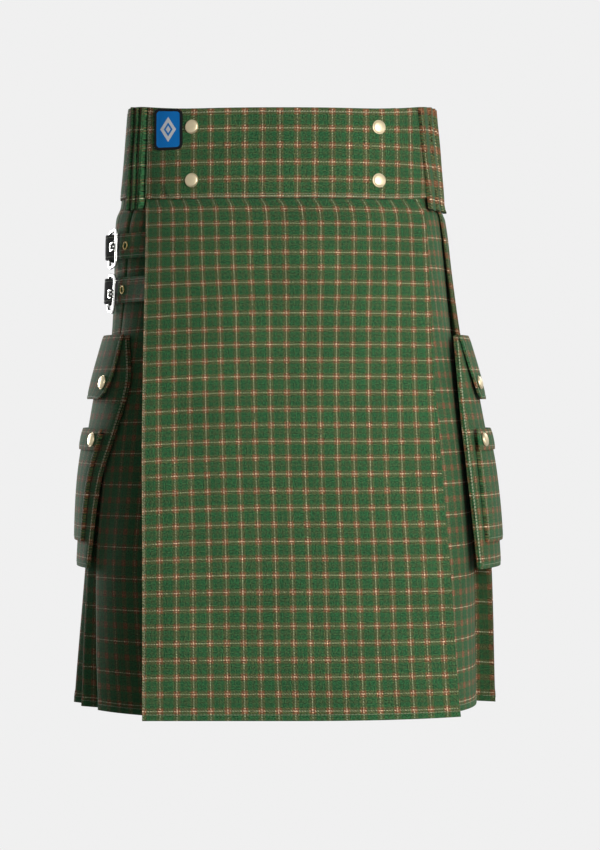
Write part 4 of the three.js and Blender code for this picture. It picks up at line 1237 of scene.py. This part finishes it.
# Embroidered felt: a satin-stitched black edge, a blue field and plain pale lozenges in it. The edge
# is where the distance past the inner corner's centre is more than its radius.
def patchMaterial(halfWide, halfHigh):
    material = bpy.data.materials.new("embroidered felt")
    tree = emptyTree(material)
    uv = addNode(tree, "UVMap", {"uv_map": "cloth"})
    split = addNode(tree, "SeparateXYZ", Vector=(uv, 0))
    inner = patch["corner"] - patch["border"]
    squares, shares = [], []
    for axis, half in enumerate((halfWide, halfHigh)):
        off = addNode(tree, "Math", {"operation": "ABSOLUTE"}, i0=(split, axis))
        past = addNode(tree, "Math", {"operation": "SUBTRACT"}, i0=(off, 0),
                       i1=half - patch["border"] - inner)
        over = addNode(tree, "Math", {"operation": "MAXIMUM"}, i0=(past, 0), i1=0.0)
        squares.append(addNode(tree, "Math", {"operation": "POWER"}, i0=(over, 0), i1=2.0))
        shares.append(addNode(tree, "Math", {"operation": "DIVIDE"}, i0=(off, 0),
                              i1=patch["halfLozenge"][axis]))
    square = addNode(tree, "Math", {"operation": "ADD"}, i0=(squares[0], 0), i1=(squares[1], 0))
    distance = addNode(tree, "Math", {"operation": "SQRT"}, i0=(square, 0))
    isBorder = addNode(tree, "Math", {"operation": "GREATER_THAN"}, i0=(distance, 0), i1=inner)
    lozenge = addNode(tree, "Math", {"operation": "ADD"}, i0=(shares[0], 0), i1=(shares[1], 0))
    fromBand = addNode(tree, "Math", {"operation": "SUBTRACT"}, i0=(lozenge, 0), i1=patch["band"][0])
    offBand = addNode(tree, "Math", {"operation": "ABSOLUTE"}, i0=(fromBand, 0))
    isBand = addNode(tree, "Math", {"operation": "LESS_THAN"}, i0=(offBand, 0), i1=patch["band"][1])
    isCore = addNode(tree, "Math", {"operation": "LESS_THAN"}, i0=(lozenge, 0), i1=patch["core"])
    isMotif = addNode(tree, "Math", {"operation": "MAXIMUM"}, i0=(isBand, 0), i1=(isCore, 0))
    field = addNode(tree, "Mix", {"data_type": "RGBA"}, i0=(isMotif, 0), i6=toLinear(patch["blue"]),
                    i7=toLinear(patch["pale"]))
    whole = addNode(tree, "Mix", {"data_type": "RGBA"}, i0=(isBorder, 0), i6=(field, 2),
                    i7=toLinear(patch["black"]))
    wave = addNode(tree, "TexWave", {"bands_direction": "DIAGONAL"}, Vector=(uv, 0),
                   Scale=patch["stitchScale"], Distortion=1.2)
    height = addNode(tree, "Math", {"operation": "MULTIPLY_ADD"}, i0=(isMotif, 0), i1=1.5, i2=(wave, 1))
    bump = addNode(tree, "Bump", Height=(height, 0), Strength=0.5, Distance=0.3 * mm)
    shader = addNode(tree, "BsdfPrincipled", Base_Color=(whole, 2), Normal=(bump, 0), Roughness=0.75,
                     Specular_IOR_Level=0.2)
    addNode(tree, "OutputMaterial", Surface=(shader, 0))
    return material


# rows that follow the round corners: each row's ends are pulled in by the corner's circle
def buildPatch():
    turn = np.radians(np.linspace(90, 0, 10))
    corner = patch["corner"]
    upperZ, upperPull = patch["top"] - corner * (1 - np.sin(turn)), corner * (1 - np.cos(turn))
    lowerZ = patch["top"] + patch["bottom"] - upperZ[::-1]
    middle = np.linspace(upperZ[-1], lowerZ[0], 16)[1:-1]
    z = np.concatenate([upperZ, middle, lowerZ])
    pull = np.minimum(np.concatenate([upperPull, 0 * middle, upperPull[::-1]]), corner - 0.6)
    start = wayToFrontX(z, patch["toX"] - pull)[:, None]
    end = wayToFrontX(z, patch["fromX"] + pull)[:, None]
    way = mix(start, end, np.linspace(0, 1, 30))
    place = onOutline(z, way)
    midX, midZ = (patch["fromX"] + patch["toX"]) / 2, (patch["top"] + patch["bottom"]) / 2
    halfWide, halfHigh = (patch["toX"] - patch["fromX"]) / 2, (patch["top"] - patch["bottom"]) / 2
    x, up = place[..., 0] - midX, (z - midZ)[:, None]
    fromEdge = np.minimum(halfWide - np.abs(x), halfHigh - np.abs(up))
    raised = 0.3 * smooth((3.4 - fromEdge) / 0.6) - rolledEdge(fromEdge, 1.0, 0.5)
    level = z[:, None] + topLift(z[:, None], place[..., 1])
    outer = withHeight(onOutline(z, way, sizes["seam"] + patch["thick"] - 0.2 + raised), level)
    inner = withHeight(onOutline(z, way, sizes["seam"]), level)
    piece = addWall("patchFelt", outer, inner, clothMap(x, up), patchMaterial(halfWide, halfHigh))
    declare(piece, outer, "patch")


buildPatch()

print("kilt: floor, light and camera")
studio = {"grey": (0.871, 0.871, 0.871, 1), "sky": (0.93, 0.97, 1.0, 1), "world": 0.085, "reflected": 0.7,
          "floor": -900, "reach": 9000}


# a pale floor that glows evenly, so that it keeps its shade from every side
def buildFloor():
    material = bpy.data.materials.new("studio paper")
    tree = emptyTree(material)
    glow = addNode(tree, "Emission", Color=studio["grey"], Strength=1.0)
    addNode(tree, "OutputMaterial", Surface=(glow, 0))
    far = studio["reach"]
    corners = np.array([(-far, -far), (far, -far), (far, far), (-far, far)], float)
    points = np.concatenate([corners, np.full((4, 1), studio["floor"])], axis=1)
    mesh = bpy.data.meshes.new("floor")
    mesh.from_pydata((points * mm).tolist(), [], [(0, 1, 2, 3)])
    mesh.materials.append(material)
    floor = bpy.data.objects.new("floor", mesh)
    bpy.context.scene.collection.objects.link(floor)
    floor.visible_diffuse = False
    floor.visible_glossy = False
    floor.visible_shadow = False


# the studio round it: the camera sees the floor's grey, cloth is lit faintly, and metal reflects more
def buildWorld():
    world = bpy.data.worlds.new("studio")
    tree = emptyTree(world)
    shown = addNode(tree, "Background", Color=studio["grey"], Strength=1.0)
    ray = addNode(tree, "LightPath")
    strength = addNode(tree, "MapRange", Value=(ray, 3), i3=studio["world"], i4=studio["reflected"])
    lit = addNode(tree, "Background", Color=studio["sky"], Strength=(strength, 0))
    both = addNode(tree, "MixShader", Fac=(ray, 0), i1=(lit, 0), i2=(shown, 0))
    addNode(tree, "OutputWorld", Surface=(both, 0))
    bpy.context.scene.world = world
    bpy.context.scene.view_settings.view_transform = "Standard"


# in metres and watts: place, what it points at, size and power
lamps = {
    "key": ((1.4, -2.5, 0.25), (0, 0, -0.3), 1.0, 66),
    "fill": ((0.4, -3.0, -0.4), (0, 0, -0.35), 1.6, 5),
    "sideRight": ((2.7, -0.5, -0.2), (0.15, 0, -0.4), 1.0, 10),
    "rimRight": ((1.8, 1.6, 0.8), (0, 0, -0.2), 1.2, 15),
    "rimLeft": ((-2.2, 2.7, 0.1), (0, 0, -0.35), 1.2, 78),
}


def buildLamps():
    for name, (place, target, size, power) in lamps.items():
        lamp = bpy.data.lights.new(name, "AREA")
        lamp.size = size
        lamp.energy = power
        holder = bpy.data.objects.new(name, lamp)
        holder.location = place
        holder.rotation_euler = (Vector(target) - Vector(place)).to_track_quat("-Z", "Y").to_euler()
        bpy.context.scene.collection.objects.link(holder)


# the camera's place in metres; its focal length and its horizon above the middle, in pixels of a
# frame 850 high
view = {"place": (0.018, -2.831, -0.2499), "focal": 2700, "frameHigh": 850, "horizonAbove": 25, "sensor": 36}


def buildCamera():
    camera = bpy.data.cameras.new("camera")
    camera.sensor_fit = "VERTICAL"
    camera.sensor_height = view["sensor"]
    camera.lens = view["focal"] * view["sensor"] / view["frameHigh"]
    camera.shift_y = -view["horizonAbove"] / view["frameHigh"]
    holder = bpy.data.objects.new("camera", camera)
    holder.location = view["place"]
    holder.rotation_euler = (math.radians(90), 0, 0)
    bpy.context.scene.collection.objects.link(holder)
    bpy.context.scene.camera = holder


buildFloor()
buildWorld()
buildLamps()
buildCamera()

print("kilt: cuts in metres", cuts)
